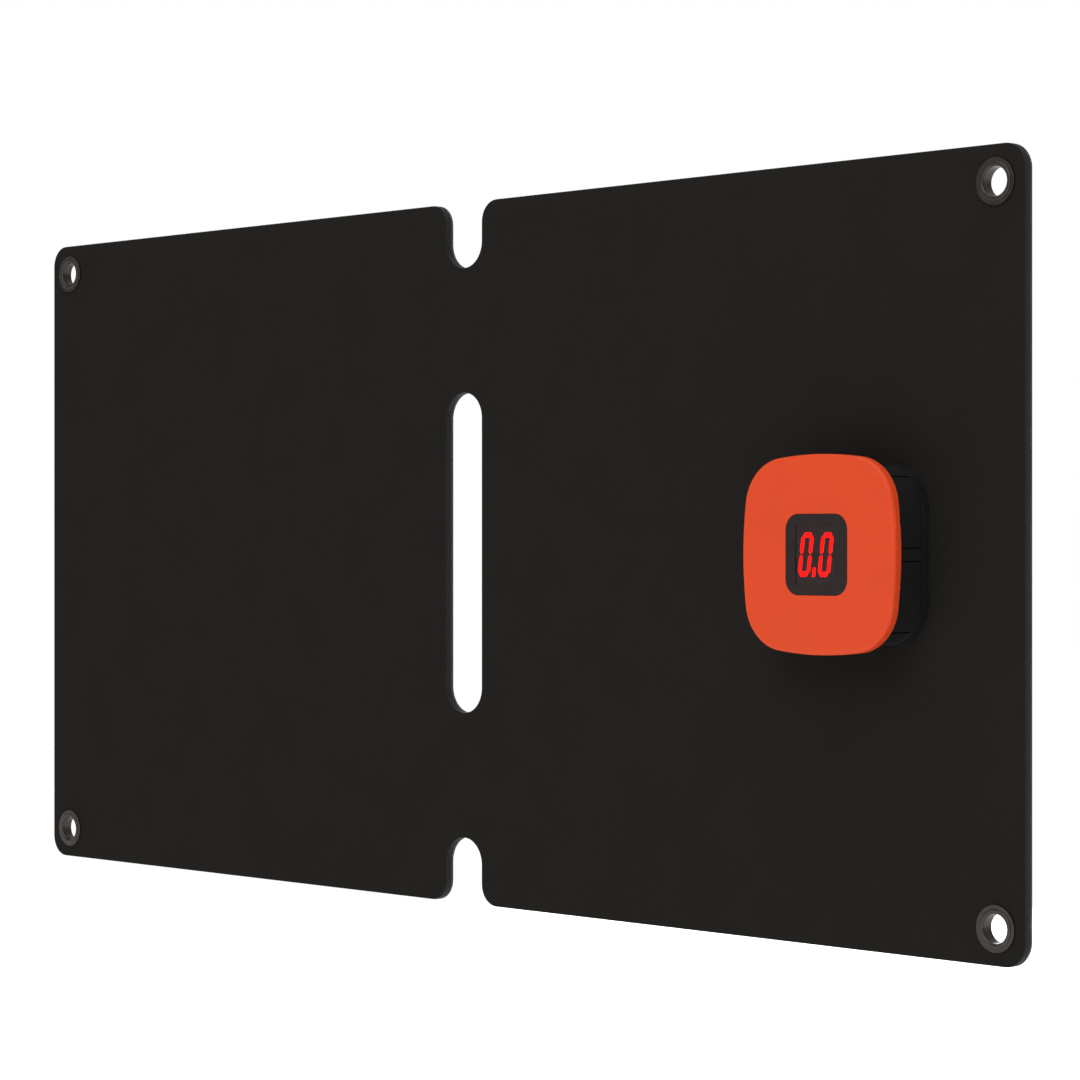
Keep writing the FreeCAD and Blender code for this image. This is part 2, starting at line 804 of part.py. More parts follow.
cap_pad = cap.Tip
top_round = round_off(cap, cap_pad, d.cap_top.value, 12.0, 1.2, "CapTopRound")
low_round = round_off(cap, top_round, d.case_top.value, 12.0, 0.5, "CapLowRound")
sink(cap, "CapHollow", d.cap_hollow, d.cap_hollow, d.case_rad - d.case_wall, d.case_top, d.cap_top - d.cap_skin)
sink(cap, "CapLedge", d.ledge_wide, d.ledge_wide, d.ledge_rad, d.cap_top - d.cap_skin, d.cap_top)
sink(cap, "CapWindowSeat", d.window_wide + 0.1, d.window_wide + 0.1, d.window_rad, d.display_top + d.window_gap, d.cap_top)
s = new_sketch(cap, "CapSealGroove", level=d.case_top)
draw_round_rect(s, d.seal_wide, d.seal_wide, d.case_rad - 1, d.case_rad - 1)
draw_round_rect(
    s,
    d.seal_wide - d.seal_line * 2,
    d.seal_wide - d.seal_line * 2,
    d.case_rad - 1 - d.seal_line,
    d.case_rad - 1 - d.seal_line,
)
pocket(cap, s, d.seal_deep, "SealGroove")

seal = new_body("SealRing")
s = new_sketch(seal, "SealOutline", level=d.case_top)
draw_round_rect(s, d.seal_wide, d.seal_wide, d.case_rad - 1, d.case_rad - 1)
draw_round_rect(
    s,
    d.seal_wide - d.seal_line * 2,
    d.seal_wide - d.seal_line * 2,
    d.case_rad - 1 - d.seal_line,
    d.case_rad - 1 - d.seal_line,
)
pad(seal, s, d.seal_deep)
put(seal, box_x, y_back)

window = boxed("Window", d.window_wide, d.window_rad, d.display_top + d.window_gap, d.display_top + d.window_gap + d.window_thick)

# the circuit board, its screws and what it carries
pcb_top = d.pcb_low + d.pcb_thick
SCREW_HOLES = tuple((q(x), q(z), q(1.15)) for x, z in SCREWS)
pcb_blank = boxed("BoardPlate", d.pcb_wide, d.pcb_rad, d.pcb_low, pcb_top, SCREW_HOLES)
usb_a_front = box_x - case_half + d.rebate_deep + 0.5
usb_a_x = usb_a_front + d.usb_a_long / 2
usb_a_room = block("SocketRoom", d.usb_a_long + 2, 4.0, d.usb_a_wide + 0.4, usb_a_x - 0.8, y_back + d.pcb_low + 0.6, d.socket_off)
circuit_board = cut("CircuitBoard", pcb_blank, usb_a_room)


def screw(k, x, z):
    head = rod("ScrewHead%d" % k, 1.8, 1.0, box_x + x, y_back + pcb_top, z)
    shank = rod("ScrewShank%d" % k, 0.8, d.pcb_thick + 2.0, box_x + x, y_back + d.pcb_low - 2.0, z)
    body = fuse("ScrewBody%d" % k, head, shank)
    slot_a = block("ScrewSlotA%d" % k, 2.2, 1.0, 0.5, box_x + x, y_back + pcb_top + 1.0, z)
    slot_b = block("ScrewSlotB%d" % k, 0.5, 1.0, 2.2, box_x + x, y_back + pcb_top + 1.0, z)
    return cut("Screw%d" % k, body, slot_a, slot_b)


board_screws = group("BoardScrews", *[screw(k, x, z) for k, (x, z) in enumerate(SCREWS)])


def socket(name, wide, tall, long, x, y, z, tongue_wide, tongue_tall, tongue_long, lift):
    """A metal shell open towards -X, and the plastic block and tongue inside it."""
    shell = block(name + "Can", long, tall, wide, x, y, z)
    room = block(name + "Room", long, tall - d.shell_wall * 2, wide - d.shell_wall * 2, x - d.shell_wall, y, z)
    can = cut(name + "Shell", shell, room)
    back = block(
        name + "Back",
        2.0,
        tall - d.shell_wall * 2,
        wide - d.shell_wall * 2,
        x + long / 2 - d.shell_wall - 1.0,
        y,
        z,
    )
    tongue = block(
        name + "Tongue",
        tongue_long,
        tongue_tall,
        tongue_wide,
        x + long / 2 - d.shell_wall - 2.0 - tongue_long / 2,
        y + lift,
        z,
    )
    return can, fuse(name + "Core", back, tongue)


usb_a_shell, usb_a_core = socket(
    "UsbA", d.usb_a_wide, d.usb_a_tall, d.usb_a_long, usb_a_x, y_back + d.usb_a_mid, d.socket_off, q(11.1), q(1.84), q(9.0), 0.95
)
usb_c_x = usb_a_front + d.usb_c_long / 2
usb_c_shell, usb_c_core = socket(
    "UsbC", d.usb_c_wide, d.usb_c_tall, d.usb_c_long, usb_c_x, y_back + usb_c_mid, -d.socket_off, q(6.2), q(0.7), q(4.4), 0.0
)

inductor_body = block("InductorBody", 8.0, 4.2, 8.0, box_x + 14.0, y_back + pcb_top + 2.1, 6.5)
inductor_pole = rod("InductorPole", 2.6, 0.4, box_x + 14.0, y_back + pcb_top + 4.2, 6.5)
inductor = fuse("Inductor", inductor_body, inductor_pole)
capacitor_base = block("CapacitorBase", 6.6, 0.8, 6.6, box_x + 13.5, y_back + pcb_top + 0.4, -9.0)
capacitor_can = rod("CapacitorCan", 3.15, 4.8, box_x + 13.5, y_back + pcb_top + 0.8, -9.0)
capacitor = fuse("Capacitor", capacitor_base, capacitor_can)
chip = block("Chip", 5.0, 0.9, 5.0, box_x + 14.0, y_back + pcb_top + 0.45, -1.2)

display_module = block(
    "DisplayModule",
    d.display_wide,
    d.display_top - pcb_top,
    d.display_tall,
    box_x + d.display_off,
    y_back + (d.display_top + pcb_top) / 2,
    0,
)


def slanted_bar(points, low, thick, slant):
    """A flat bar across Y from its outline, leaning towards -X as it rises."""
    lean = math.tan(math.radians(slant))
    corners = [Vector(x - z * lean, low, z) for x, z in points]
    wire = Part.makePolygon(corners + corners[:1])
    return Part.Face(wire).extrude(Vector(0, thick, 0))


def digit(x0):
    """The seven bars of a digit about x0, as outlines that don't touch."""
    w, t, b = d.digit_wide.value / 2, d.digit_tall.value / 2, d.bar_wide.value
    g, m, n = 0.14, b / 2, d.bar_tall.value / 2
    bars = []
    for z, side in ((t - n, 1), (0.0, 0), (-t + n, -1)):
        l = w - m - g
        up = d.bar_corner.value if side > 0 else n
        dn = d.bar_corner.value if side < 0 else n
        bars.append([(x0 - l, z), (x0 - l + up, z + n), (x0 + l - up, z + n), (x0 + l, z), (x0 + l - dn, z - n), (x0 - l + dn, z - n)])
    for x in (w - m, -w + m):
        for lo, hi in ((g, t - n - g), (-t + n + g, -g)):
            bars.append([(x0 + x, lo), (x0 + x + m, lo + m), (x0 + x + m, hi - m), (x0 + x, hi), (x0 + x - m, hi - m), (x0 + x - m, lo + m)])
    return bars


bars = []
for x0 in (-d.digit_pitch.value / 2, d.digit_pitch.value / 2):
    bars += digit(x0)
dot = d.bar_wide.value / 2
low = -d.digit_tall.value / 2
bars.append([(-dot, low), (dot, low), (dot * 0.7, low + d.point_tall.value), (-dot * 0.7, low + d.point_tall.value)])
segments = doc.addObject("Part::Feature", "DisplaySegments")
segments.Shape = Part.Compound(
    [slanted_bar(b, d.display_top.value, d.bar_thick.value, d.digit_slant.value) for b in bars]
)
put(segments, box_x + d.display_off, y_back)

# ---------------------------------------------------------------- labels, which name the files

node(front_film_left, "front_film_left")
node(encapsulant_left, "encapsulant_left")
node(cells_left, "solar_cells_left")
node(ribbons_left, "cell_ribbons_left")
node(liner_left, "backing_liner_left")
node(collectors_left, "collector_ribbons_left")
node(stiffener_left, "stiffener_board_left")
node(back_cloth_left, "back_cloth_left")
node(eyelets_left, "eyelets_left")
node(washers_left, "eyelet_washers_left")
for name, source, label in RIGHT:
    node(mirror(name, source, ACROSS), label)
node(web_upper, "fold_web_upper")
node(web_lower, "fold_web_lower")
node(fold_conductors, "fold_conductors")
node(adhesive_pad, "adhesive_pad")
node(controller_base, "controller_base")
node(controller_case, "controller_case")
node(cover_strap, "port_cover_strap")
node(cover_upper, "port_cover_upper")
node(cover_lower, "port_cover_lower")
node(cap, "front_cap")
node(seal, "seal_ring")
node(window, "display_window")
node(display_module, "display_module")
node(segments, "display_segments")
node(circuit_board, "circuit_board")
node(board_screws, "board_screws")
node(lead_tabs, "lead_tabs")
node(usb_a_shell, "usb_a_shell")
node(usb_a_core, "usb_a_core")
node(usb_c_shell, "usb_c_shell")
node(usb_c_core, "usb_c_core")
node(inductor, "inductor")
node(capacitor, "capacitor")
node(chip, "converter_chip")

doc.recompute()

wrong = [o.Name + " " + str(o.State) for o in doc.Objects if "Invalid" in o.State or "Error" in o.State]
for o in NODES:
    if o.Shape.isNull() or not o.Shape.isValid() or not o.Shape.Solids:
        wrong.append(o.Label + " has no valid shape")
if wrong:
    print("\n".join(wrong))
    sys.exit("the model has errors")

for old in os.listdir("parts"):
    if old.endswith(".step"):
        os.remove(os.path.join("parts", old))
for o in NODES:
    o.Shape.exportStep(os.path.join("parts", o.Label + ".step"))
    b = o.Shape.BoundBox
    print(
        "%-26s solids %2d  volume %9.2f  x %8.2f %8.2f  y %6.2f %6.2f  z %8.2f %8.2f"
        % (o.Label, len(o.Shape.Solids), o.Shape.Volume, b.XMin, b.XMax, b.YMin, b.YMax, b.ZMin, b.ZMax)
    )
print(len(NODES), "nodes")
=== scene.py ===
import json
import math

import bmesh
import bpy
import numpy as np
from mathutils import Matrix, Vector
from mathutils.geometry import delaunay_2d_cdt


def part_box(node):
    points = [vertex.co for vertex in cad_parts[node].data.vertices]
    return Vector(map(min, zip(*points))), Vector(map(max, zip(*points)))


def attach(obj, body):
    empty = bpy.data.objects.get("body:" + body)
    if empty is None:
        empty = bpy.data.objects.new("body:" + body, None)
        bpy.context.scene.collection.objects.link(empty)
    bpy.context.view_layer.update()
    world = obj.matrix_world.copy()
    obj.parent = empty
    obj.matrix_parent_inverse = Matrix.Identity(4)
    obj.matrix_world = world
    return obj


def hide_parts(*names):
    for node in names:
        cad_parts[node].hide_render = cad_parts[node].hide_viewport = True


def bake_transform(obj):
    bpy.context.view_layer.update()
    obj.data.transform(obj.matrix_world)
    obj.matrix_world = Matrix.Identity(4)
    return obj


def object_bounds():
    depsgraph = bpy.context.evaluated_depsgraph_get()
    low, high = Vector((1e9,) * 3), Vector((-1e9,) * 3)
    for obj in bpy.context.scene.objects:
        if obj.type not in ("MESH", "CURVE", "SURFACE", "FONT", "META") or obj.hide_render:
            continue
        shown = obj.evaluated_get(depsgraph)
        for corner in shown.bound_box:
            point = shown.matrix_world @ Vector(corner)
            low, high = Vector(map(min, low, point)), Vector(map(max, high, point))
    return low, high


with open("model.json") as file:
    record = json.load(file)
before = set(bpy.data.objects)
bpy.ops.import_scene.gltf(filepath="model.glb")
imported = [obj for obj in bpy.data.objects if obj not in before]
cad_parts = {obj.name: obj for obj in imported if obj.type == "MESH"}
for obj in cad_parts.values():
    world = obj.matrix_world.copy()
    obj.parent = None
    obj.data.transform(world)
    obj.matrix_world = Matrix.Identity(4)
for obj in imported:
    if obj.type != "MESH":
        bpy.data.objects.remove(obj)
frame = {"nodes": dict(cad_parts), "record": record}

MM = 0.001
nodes = frame["nodes"]
cad_lo, cad_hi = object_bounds()

# ---------------------------------------------------------------- places, in millimetres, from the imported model
def box_mm(name):
    lo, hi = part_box(name)
    return [c / MM for c in lo], [c / MM for c in hi]

cloth_l, cloth_r = box_mm("back_cloth_left"), box_mm("back_cloth_right")
film_r, liner_r, board_r = box_mm("front_film_right"), box_mm("backing_liner_right"), box_mm("stiffener_board_right")
W, H = cloth_r[1][0], cloth_r[1][2]                    # half the open width, half the height
S = cloth_r[0][0]                                      # half the fold's width, and the round ends' radius
R_OUT, R_IN = 7.0, 6.5                                 # corners at the outside and beside the notches
NOTCH_Z, SLOT_Z = 97.1, 42.0                           # centres of the notch's and the slot's round ends
EYE = [(c[0] + c[1]) / 2 for c in zip(*box_mm("eyelet_washers_right"))]
EYE_X = EYE[0]
EYE_Z = box_mm("eyelet_washers_right")[1][2] - (box_mm("eyelet_washers_right")[1][0] - box_mm("eyelet_washers_right")[0][0]) / 2
EYE_R = 4.6
Y_FILM, Y_LINER, Y_LINER_BACK = film_r[0][1], liner_r[0][1], liner_r[1][1]
Y_CLOTH, Y_BACK = cloth_r[0][1], cloth_r[1][1]
MODULE = box_mm("display_module")
LOOK = [(MODULE[0][0] + MODULE[1][0]) / 2, (MODULE[1][0] - MODULE[0][0]) / 2 - 0.5, (MODULE[1][2] - MODULE[0][2]) / 2 - 0.5]   # the clear part of the window: centre, half width, half height
A, B = "controller_leaf", "plain_leaf"


# ---------------------------------------------------------------- outlines
def arc(cx, cz, r, a0, a1, n):
    return [(cx + r * math.cos(math.radians(a)), cz + r * math.sin(math.radians(a))) for a in np.linspace(a0, a1, n)]


def quarter(d):
    """The outline's upper right quarter, d inside the edge, from the notch's lowest point round to the right edge's middle."""
    pts = arc(0, NOTCH_Z, S + d, -90, 0, 13)
    pts += arc(S + R_IN, H - R_IN, R_IN - d, 180, 90, 9)
    pts += [(x, H - d) for x in np.linspace(S + R_IN, W - R_OUT, 40)[1:-1]]
    pts += arc(W - R_OUT, H - R_OUT, R_OUT - d, 90, 0, 11)
    pts += [(W - d, z) for z in np.linspace(H - R_OUT, 0, 22)[1:]]
    return pts


def slot_half(d):
    """The slot's right side, from its top to its bottom."""
    return arc(0, SLOT_Z, S + d, 90, 0, 13) + [(S + d, z) for z in np.linspace(SLOT_Z, -SLOT_Z, 14)[1:-1]] + arc(0, -SLOT_Z, S + d, 0, -90, 13)


def flip(pts, sx, sz):
    return [(x * sx, z * sz) for x, z in pts]


def whole_loops(d):
    """Closed loops of the whole sheet: its outline, the slot and the four eyelet holes, each d inside its edge."""
    q = quarter(d)
    outer = q + flip(q, 1, -1)[::-1][1:] + flip(q, -1, -1)[1:] + flip(q, -1, 1)[::-1][1:-1]
    s = slot_half(d)
    slot = s + flip(s, -1, 1)[::-1][1:-1]
    holes = [arc(sx * EYE_X, sz * EYE_Z, EYE_R + d, 0, 360, 33)[:-1] for sx in (-1, 1) for sz in (-1, 1)]
    return [outer, slot] + holes


SEAM = 1.41


def half_loops(d, side):
    """The same for one leaf and its half of the webs, cut along the middle of the fold. The second value marks the cut's points."""
    q = quarter(d)
    top, low = q[0][1], S + d + SLOT_Z
    cut = list(np.linspace(top, low, int(round((top - low) / SEAM)) + 1))[1:-1]
    outer = q + flip(q, 1, -1)[::-1][1:]
    lower = [(0.0, -z) for z in cut]
    slot = flip(slot_half(d), 1, -1)
    upper = [(0.0, z) for z in cut[::-1]]
    loop = outer + lower + slot + upper
    marks = [False] * len(outer) + [True] * len(lower) + [False] * len(slot) + [True] * len(upper)
    loop = [(side * x, z) for x, z in loop]
    holes = [arc(side * EYE_X, sz * EYE_Z, EYE_R + d, 0, 360, 33)[:-1] for sz in (-1, 1)]
    return [loop] + holes, marks


def crossings(px, pz, edges):
    """How many edges a ray towards +X from each point crosses."""
    n = np.zeros(len(px), int)
    for i in range(0, len(px), 4000):
        x, z = px[i:i + 4000, None], pz[i:i + 4000, None]
        x0, z0, x1, z1 = (edges[None, :, k] for k in range(4))
        hit = (z0 > z) != (z1 > z)
        at = x0 + (z - z0) * (x1 - x0) / np.where(np.abs(z1 - z0) < 1e-12, 1e-12, z1 - z0)
        n[i:i + 4000] = (hit & (at > x)).sum(1)
    return n


def fill(points, edges, extra=()):
    """Triangles that cover what an odd number of the edges' loops encloses. Points are millimetres, edges are pairs of numbers of points."""
    pts = [Vector(p) for p in points] + [Vector(p) for p in extra]
    verts, _, faces, orig, _, _ = delaunay_2d_cdt(pts, [tuple(e) for e in edges], [], 0, 1e-6)
    back = [o[0] if o else None for o in orig]
    tri = np.array([f for f in faces if len(f) == 3 and all(back[v] is not None for v in f)])
    co = np.array([(v.x, v.y) for v in verts])
    mid = co[tri].mean(1) + np.array([1.3e-5, 1.7e-5])
    p = np.array([tuple(x) for x in points])
    e = np.array([[*p[a], *p[b]] for a, b in edges])
    keep = crossings(mid[:, 0], mid[:, 1], e) % 2 == 1
    t = co[tri]
    area = (t[:, 1, 0] - t[:, 0, 0]) * (t[:, 2, 1] - t[:, 0, 1]) - (t[:, 2, 0] - t[:, 0, 0]) * (t[:, 1, 1] - t[:, 0, 1])
    keep &= np.abs(area) > 1e-7
    return [[back[v] for v in (f if a > 0 else f[::-1])] for f, a in zip(tri[keep], area[keep])]


def inside(x, z, d):
    """True well inside the whole sheet's outline, at least d from every edge."""
    x, z = abs(x), abs(z)
    if x > W - d or z > H - d:
        return False
    if x > W - R_OUT and z > H - R_OUT and math.hypot(x - W + R_OUT, z - H + R_OUT) > R_OUT - d:
        return False
    if math.hypot(x - EYE_X, z - EYE_Z) < EYE_R + d:
        return False
    if z < SLOT_Z and x < S + d or math.hypot(x, z - SLOT_Z) < S + d or math.hypot(x, z - NOTCH_Z) < S + d:
        return False
    if z > NOTCH_Z and x < S + d:
        return False
    if z > H - R_IN and x < S + R_IN and math.hypot(x - S - R_IN, z - H + R_IN) > R_IN - d:
        return False
    return True


def build(name, verts, faces, flat, materials, marks=None, sharp=None, dome=None, body=None):
    """A mesh object from millimetre points. flat is each vertex's (x, z) on the open sheet, in metres, and faces are (numbers, material, smooth)."""
    me = bpy.data.meshes.new(name)
    me.from_pydata([(x * MM, y * MM, z * MM) for x, y, z in verts], [], [f[0] for f in faces])
    for m in materials:
        me.materials.append(m)
    me.polygons.foreach_set("material_index", [f[1] for f in faces])
    me.polygons.foreach_set("use_smooth", [f[2] for f in faces])
    uv = me.uv_layers.new(name="flat")
    loops = np.zeros(len(me.loops), np.int32)
    me.loops.foreach_get("vertex_index", loops)
    uv.data.foreach_set("uv", np.array(flat, np.float32)[loops].ravel())
    at = me.attributes.new("rest", "FLOAT_VECTOR", "POINT")
    at.data.foreach_set("vector", (np.array(verts, np.float32) * MM).ravel())
    if dome is not None:
        at = me.attributes.new("dome", "FLOAT", "POINT")
        at.data.foreach_set("value", np.array(dome, np.float32))
    me.update()
    ob = bpy.data.objects.new(name, me)
    bpy.context.scene.collection.objects.link(ob)
    if sharp:
        bm = bmesh.new()
        bm.from_mesh(me)
        for e in bm.edges:
            if len(e.link_faces) == 2 and e.link_faces[0].normal.angle(e.link_faces[1].normal, 0) > math.radians(sharp):
                e.smooth = False
        bm.to_mesh(me)
        bm.free()
    return ob


def bake_map(ob, front_y):
    """A tidy second map, OFBake: the front in the lower half of the square, the back in the upper half, the rim beside
    them.
    """
    me = ob.data
    layer = me.uv_layers.new(name="OFBake")
    co = np.zeros(len(me.vertices) * 3)
    me.vertices.foreach_get("co", co)
    co = co.reshape(-1, 3)
    lo, hi = co.min(0), co.max(0)
    span = max(hi[0] - lo[0], 2.02 * (hi[2] - lo[2])) * 1.04
    uv = np.zeros((len(me.loops), 2), np.float32)
    for p in me.polygons:
        n = p.normal
        for li in p.loop_indices:
            v = co[me.loops[li].vertex_index] - lo
            if n.y < -0.3:
                uv[li] = (0.01 + v[0] / span, 0.005 + v[2] / span)
            elif n.y > 0.3:
                uv[li] = (0.01 + v[0] / span, 0.505 + v[2] / span)
            elif abs(n.x) > abs(n.z):
                uv[li] = (0.985 + v[1] / span * 0.6, v[2] / span * 0.9 + (0.5 if n.x > 0 else 0.0))
            else:
                uv[li] = (0.01 + v[0] / span, (0.994 if n.z > 0 else 0.49) + v[1] / span * 0.6)
    layer.data.foreach_set("uv", uv.ravel())


# ---------------------------------------------------------------- materials
def colour(r, g, b):
    """An sRGB colour, 0 to 255, as the linear one that nodes take."""
    return tuple((c / 255 / 12.92 if c / 255 <= 0.04045 else ((c / 255 + 0.055) / 1.055) ** 2.4) for c in (r, g, b)) + (1.0,)


class Mat:
    """A node material with short calls for the nodes that it uses."""

    def __init__(self, name):
        self.mat = bpy.data.materials.new(name)
        self.mat.use_nodes = True
        self.t = self.mat.node_tree
        self.t.nodes.clear()
        self.out = self.t.nodes.new("ShaderNodeOutputMaterial")

    def node(self, kind, inputs=None, **props):
        n = self.t.nodes.new(kind)
        for k, v in props.items():
            setattr(n, k, v)
        for k, v in (inputs or {}).items():
            s = n.inputs[k]
            if isinstance(v, bpy.types.NodeSocket):
                self.t.links.new(v, s)
            else:
                s.default_value = v
        return n

    def object_place(self):
        return self.node("ShaderNodeTexCoord").outputs["Object"]

    def rest_place(self):
        """Where each point lies on the open sheet, which folding doesn't change."""
        return self.node("ShaderNodeAttribute", attribute_name="rest").outputs["Vector"]

    def flat_place(self):
        return self.node("ShaderNodeUVMap", uv_map="flat").outputs[0]

    def noise(self, place, scale, detail=4.0, rough=0.55):
        return self.node("ShaderNodeTexNoise", {"Vector": place, "Scale": scale, "Detail": detail, "Roughness": rough}).outputs["Fac"]

    def math(self, op, a, b=0.0, clamp=False):
        n = self.node("ShaderNodeMath", operation=op, use_clamp=clamp)
        for i, v in enumerate((a, b)):
            if isinstance(v, bpy.types.NodeSocket):
                self.t.links.new(v, n.inputs[i])
            else:
                n.inputs[i].default_value = v
        return n.outputs[0]

    def span(self, value, lo, hi, to_lo=0.0, to_hi=1.0, smooth=False):
        n = self.node("ShaderNodeMapRange", {"Value": value, "From Min": lo, "From Max": hi, "To Min": to_lo, "To Max": to_hi}, clamp=True)
        if smooth:
            n.interpolation_type = "SMOOTHSTEP"
        return n.outputs[0]

    def mix(self, fac, a, b):
        n = self.node("ShaderNodeMix", data_type="RGBA")
        for s, v in ((n.inputs[0], fac), (n.inputs[6], a), (n.inputs[7], b)):
            if isinstance(v, bpy.types.NodeSocket):
                self.t.links.new(v, s)
            else:
                s.default_value = v
        return n.outputs[2]

    def bump(self, height, distance, strength=1.0):
        return self.node("ShaderNodeBump", {"Height": height, "Distance": distance, "Strength": strength}).outputs[0]

    def principled(self, **inputs):
        names = {k.replace("_", " "): v for k, v in inputs.items()}
        return self.node("ShaderNodeBsdfPrincipled", names)

    def done(self, shader):
        self.t.links.new(shader, self.out.inputs["Surface"])
        return self.mat


def apart(m, place):
    n = m.node("ShaderNodeSeparateXYZ", {0: place})
    return n.outputs[0], n.outputs[1], n.outputs[2]


def grained(name, base, rough=0.5, spec=0.4, grain=9000.0, depth=0.00002, vary=0.25, metallic=0.0, wear=None, rough_vary=0.12, coat=0.0):
    """Moulded plastic, rubber or metal: a fine spark texture, an uneven finish and paler worn edges."""
    m = Mat(name)
    p = m.object_place()
    big, fine = m.noise(p, 60.0, 3.0), m.noise(p, grain, 2.0, 0.6)
    dark = tuple(c * (1 - vary) for c in base[:3]) + (1.0,)
    light = tuple(min(1, c * (1 + vary)) for c in base[:3]) + (1.0,)
    col = m.mix(m.span(big, 0.3, 0.7), dark, light)
    if wear is not None:
        edge = m.node("ShaderNodeNewGeometry").outputs["Pointiness"]
        worn = m.math("MULTIPLY", m.span(edge, 0.52, 0.62), m.span(m.noise(p, 700.0, 4.0), 0.4, 0.7))
        col = m.mix(worn, col, wear)
    r = m.math("ADD", m.span(big, 0.3, 0.7, rough - rough_vary / 2, rough + rough_vary / 2), m.span(fine, 0.3, 0.7, -0.03, 0.03))
    b = m.principled(Base_Color=col, Roughness=r, Normal=m.bump(fine, depth, 0.7))
    b.inputs["Metallic"].default_value = metallic
    b.inputs["Specular IOR Level"].default_value = spec
    b.inputs["Coat Weight"].default_value = coat
    return m.done(b.outputs[0])


def film_material():
    """Clear embossed film: it shows what is under it, a little milky all over, with a painted highlight on each dot's
    top, a painted shade ring round each and a satin gloss.
    """
    m = Mat("clear_embossed_film")
    dome = m.node("ShaderNodeAttribute", attribute_name="dome").outputs["Fac"]
    p = m.flat_place()
    cloud = m.noise(p, 30.0, 3.0)
    # painted shade: less light comes past the steep part of each dome, a dim ring round each dot
    painted_ring_shade = m.math("MULTIPLY", m.math("MULTIPLY", dome, m.math("SUBTRACT", 1.0, dome)), 4.0, True)
    through = m.mix(painted_ring_shade, (0.97, 0.97, 0.96, 1), (0.76, 0.76, 0.75, 1))
    clear = m.node("ShaderNodeBsdfTransparent", {"Color": through}).outputs[0]
    fine = m.noise(p, 2500.0, 2.0)
    normal = m.bump(fine, 0.000006, 0.25)
    haze_and_dot_highlight = m.node("ShaderNodeBsdfDiffuse", {"Color": (0.42, 0.42, 0.40, 1), "Normal": normal}).outputs[0]
    # painted highlight: the film's faint even milkiness thickens to a light spot on each dot's top
    haze_and_highlight_amount = m.math("ADD", m.span(dome, 0.05, 0.92, 0.026, 0.112, True), m.span(cloud, 0.3, 0.7, 0.0, 0.006))
    body = m.node("ShaderNodeMixShader", {0: haze_and_highlight_amount, 1: clear, 2: haze_and_dot_highlight}).outputs[0]
    rough = m.span(fine, 0.3, 0.7, 0.34, 0.42)
    gloss = m.node("ShaderNodeBsdfGlossy", {"Roughness": rough, "Normal": normal, "Color": (0.8, 0.8, 0.8, 1)}).outputs[0]
    fres = m.node("ShaderNodeFresnel", {"IOR": 1.38, "Normal": normal}).outputs[0]
    fres = m.math("MULTIPLY", fres, 0.45)
    front = m.node("ShaderNodeMixShader", {0: fres, 1: body, 2: gloss}).outputs[0]
    back = m.node("ShaderNodeBsdfTransparent", {"Color": (1, 1, 1, 1)}).outputs[0]
    facing = m.node("ShaderNodeNewGeometry").outputs["Backfacing"]
    return m.done(m.node("ShaderNodeMixShader", {0: facing, 1: front, 2: back}).outputs[0])


def cloth_material(name, base, pitch, coords, spec=0.12, rough=0.88, depth=0.00006, vary=0.2, gap_shade=0.3):
    """Woven synthetic cloth: crossed yarns by turns over and under, with uneven yarns, a faint mottle and painted shade
    where the yarns dip between crossings.
    """
    m = Mat(name)
    p = m.flat_place() if coords == "flat" else m.object_place()
    x, y, z = apart(m, p)
    v = y if coords == "flat" else z
    wob = m.noise(p, 260.0, 2.0)
    wob = m.span(wob, 0.3, 0.7, -0.06, 0.06)
    k = math.pi / pitch
    sx = m.math("SINE", m.math("ADD", m.math("MULTIPLY", x, k), wob))
    sz = m.math("SINE", m.math("ADD", m.math("MULTIPLY", v, k), wob))
    over = m.math("MULTIPLY", m.math("ABSOLUTE", sx), m.math("ABSOLUTE", sz))
    side = m.span(m.math("MULTIPLY", sx, sz), -0.15, 0.15)
    yarn = m.noise(p, 9000.0, 2.0)
    mottle = m.noise(p, 45.0, 4.0)
    dark = tuple(c * (1 - vary) for c in base[:3]) + (1.0,)
    light = tuple(c * (1 + vary) for c in base[:3]) + (1.0,)
    col = m.mix(m.span(mottle, 0.3, 0.7), dark, light)
    # painted shade: the colour darkens where the yarns dip between crossings
    gap_shade_colour = tuple(c * 0.72 for c in base[:3]) + (1.0,)
    col = m.mix(m.span(over, 0.0, 0.30, gap_shade, 0.0), col, gap_shade_colour)
    height = m.math("ADD", m.math("MULTIPLY", over, 0.8), m.math("ADD", m.math("MULTIPLY", side, 0.10), m.math("MULTIPLY", yarn, 0.25)))
    b = m.principled(Base_Color=col, Roughness=m.span(yarn, 0.3, 0.7, rough - 0.05, min(1, rough + 0.05)), Normal=m.bump(height, depth, 0.8))
    b.inputs["Specular IOR Level"].default_value = spec
    return m.done(b.outputs[0])


def layers_material(name, tones, bends=True):
    """A cut edge: the pressed layers show as thin lines through the thickness, a little uneven."""
    m = Mat(name)
    p = m.rest_place() if bends else m.object_place()
    x, y, z = apart(m, p)
    ragged = m.span(m.noise(p, 500.0, 3.0), 0.3, 0.7, -0.00008, 0.00008)
    band = m.span(m.math("ADD", y, ragged), Y_FILM * MM, Y_BACK * MM)
    ramp = m.node("ShaderNodeValToRGB", {0: band})
    el = ramp.color_ramp.elements
    el[0].position, el[0].color = tones[0]
    el[1].position, el[1].color = tones[-1]
    for pos, c in tones[1:-1]:
        e = el.new(pos)
        e.color = c
    fibre = m.noise(p, 3500.0, 3.0)
    col = m.mix(m.span(fibre, 0.3, 0.7, 0.0, 0.35), ramp.outputs[0], (0.006, 0.006, 0.006, 1))
    b = m.principled(Base_Color=col, Roughness=m.span(fibre, 0.3, 0.7, 0.55, 0.8), Normal=m.bump(fibre, 0.00003, 0.6))
    b.inputs["Specular IOR Level"].default_value = 0.25
    return m.done(b.outputs[0])


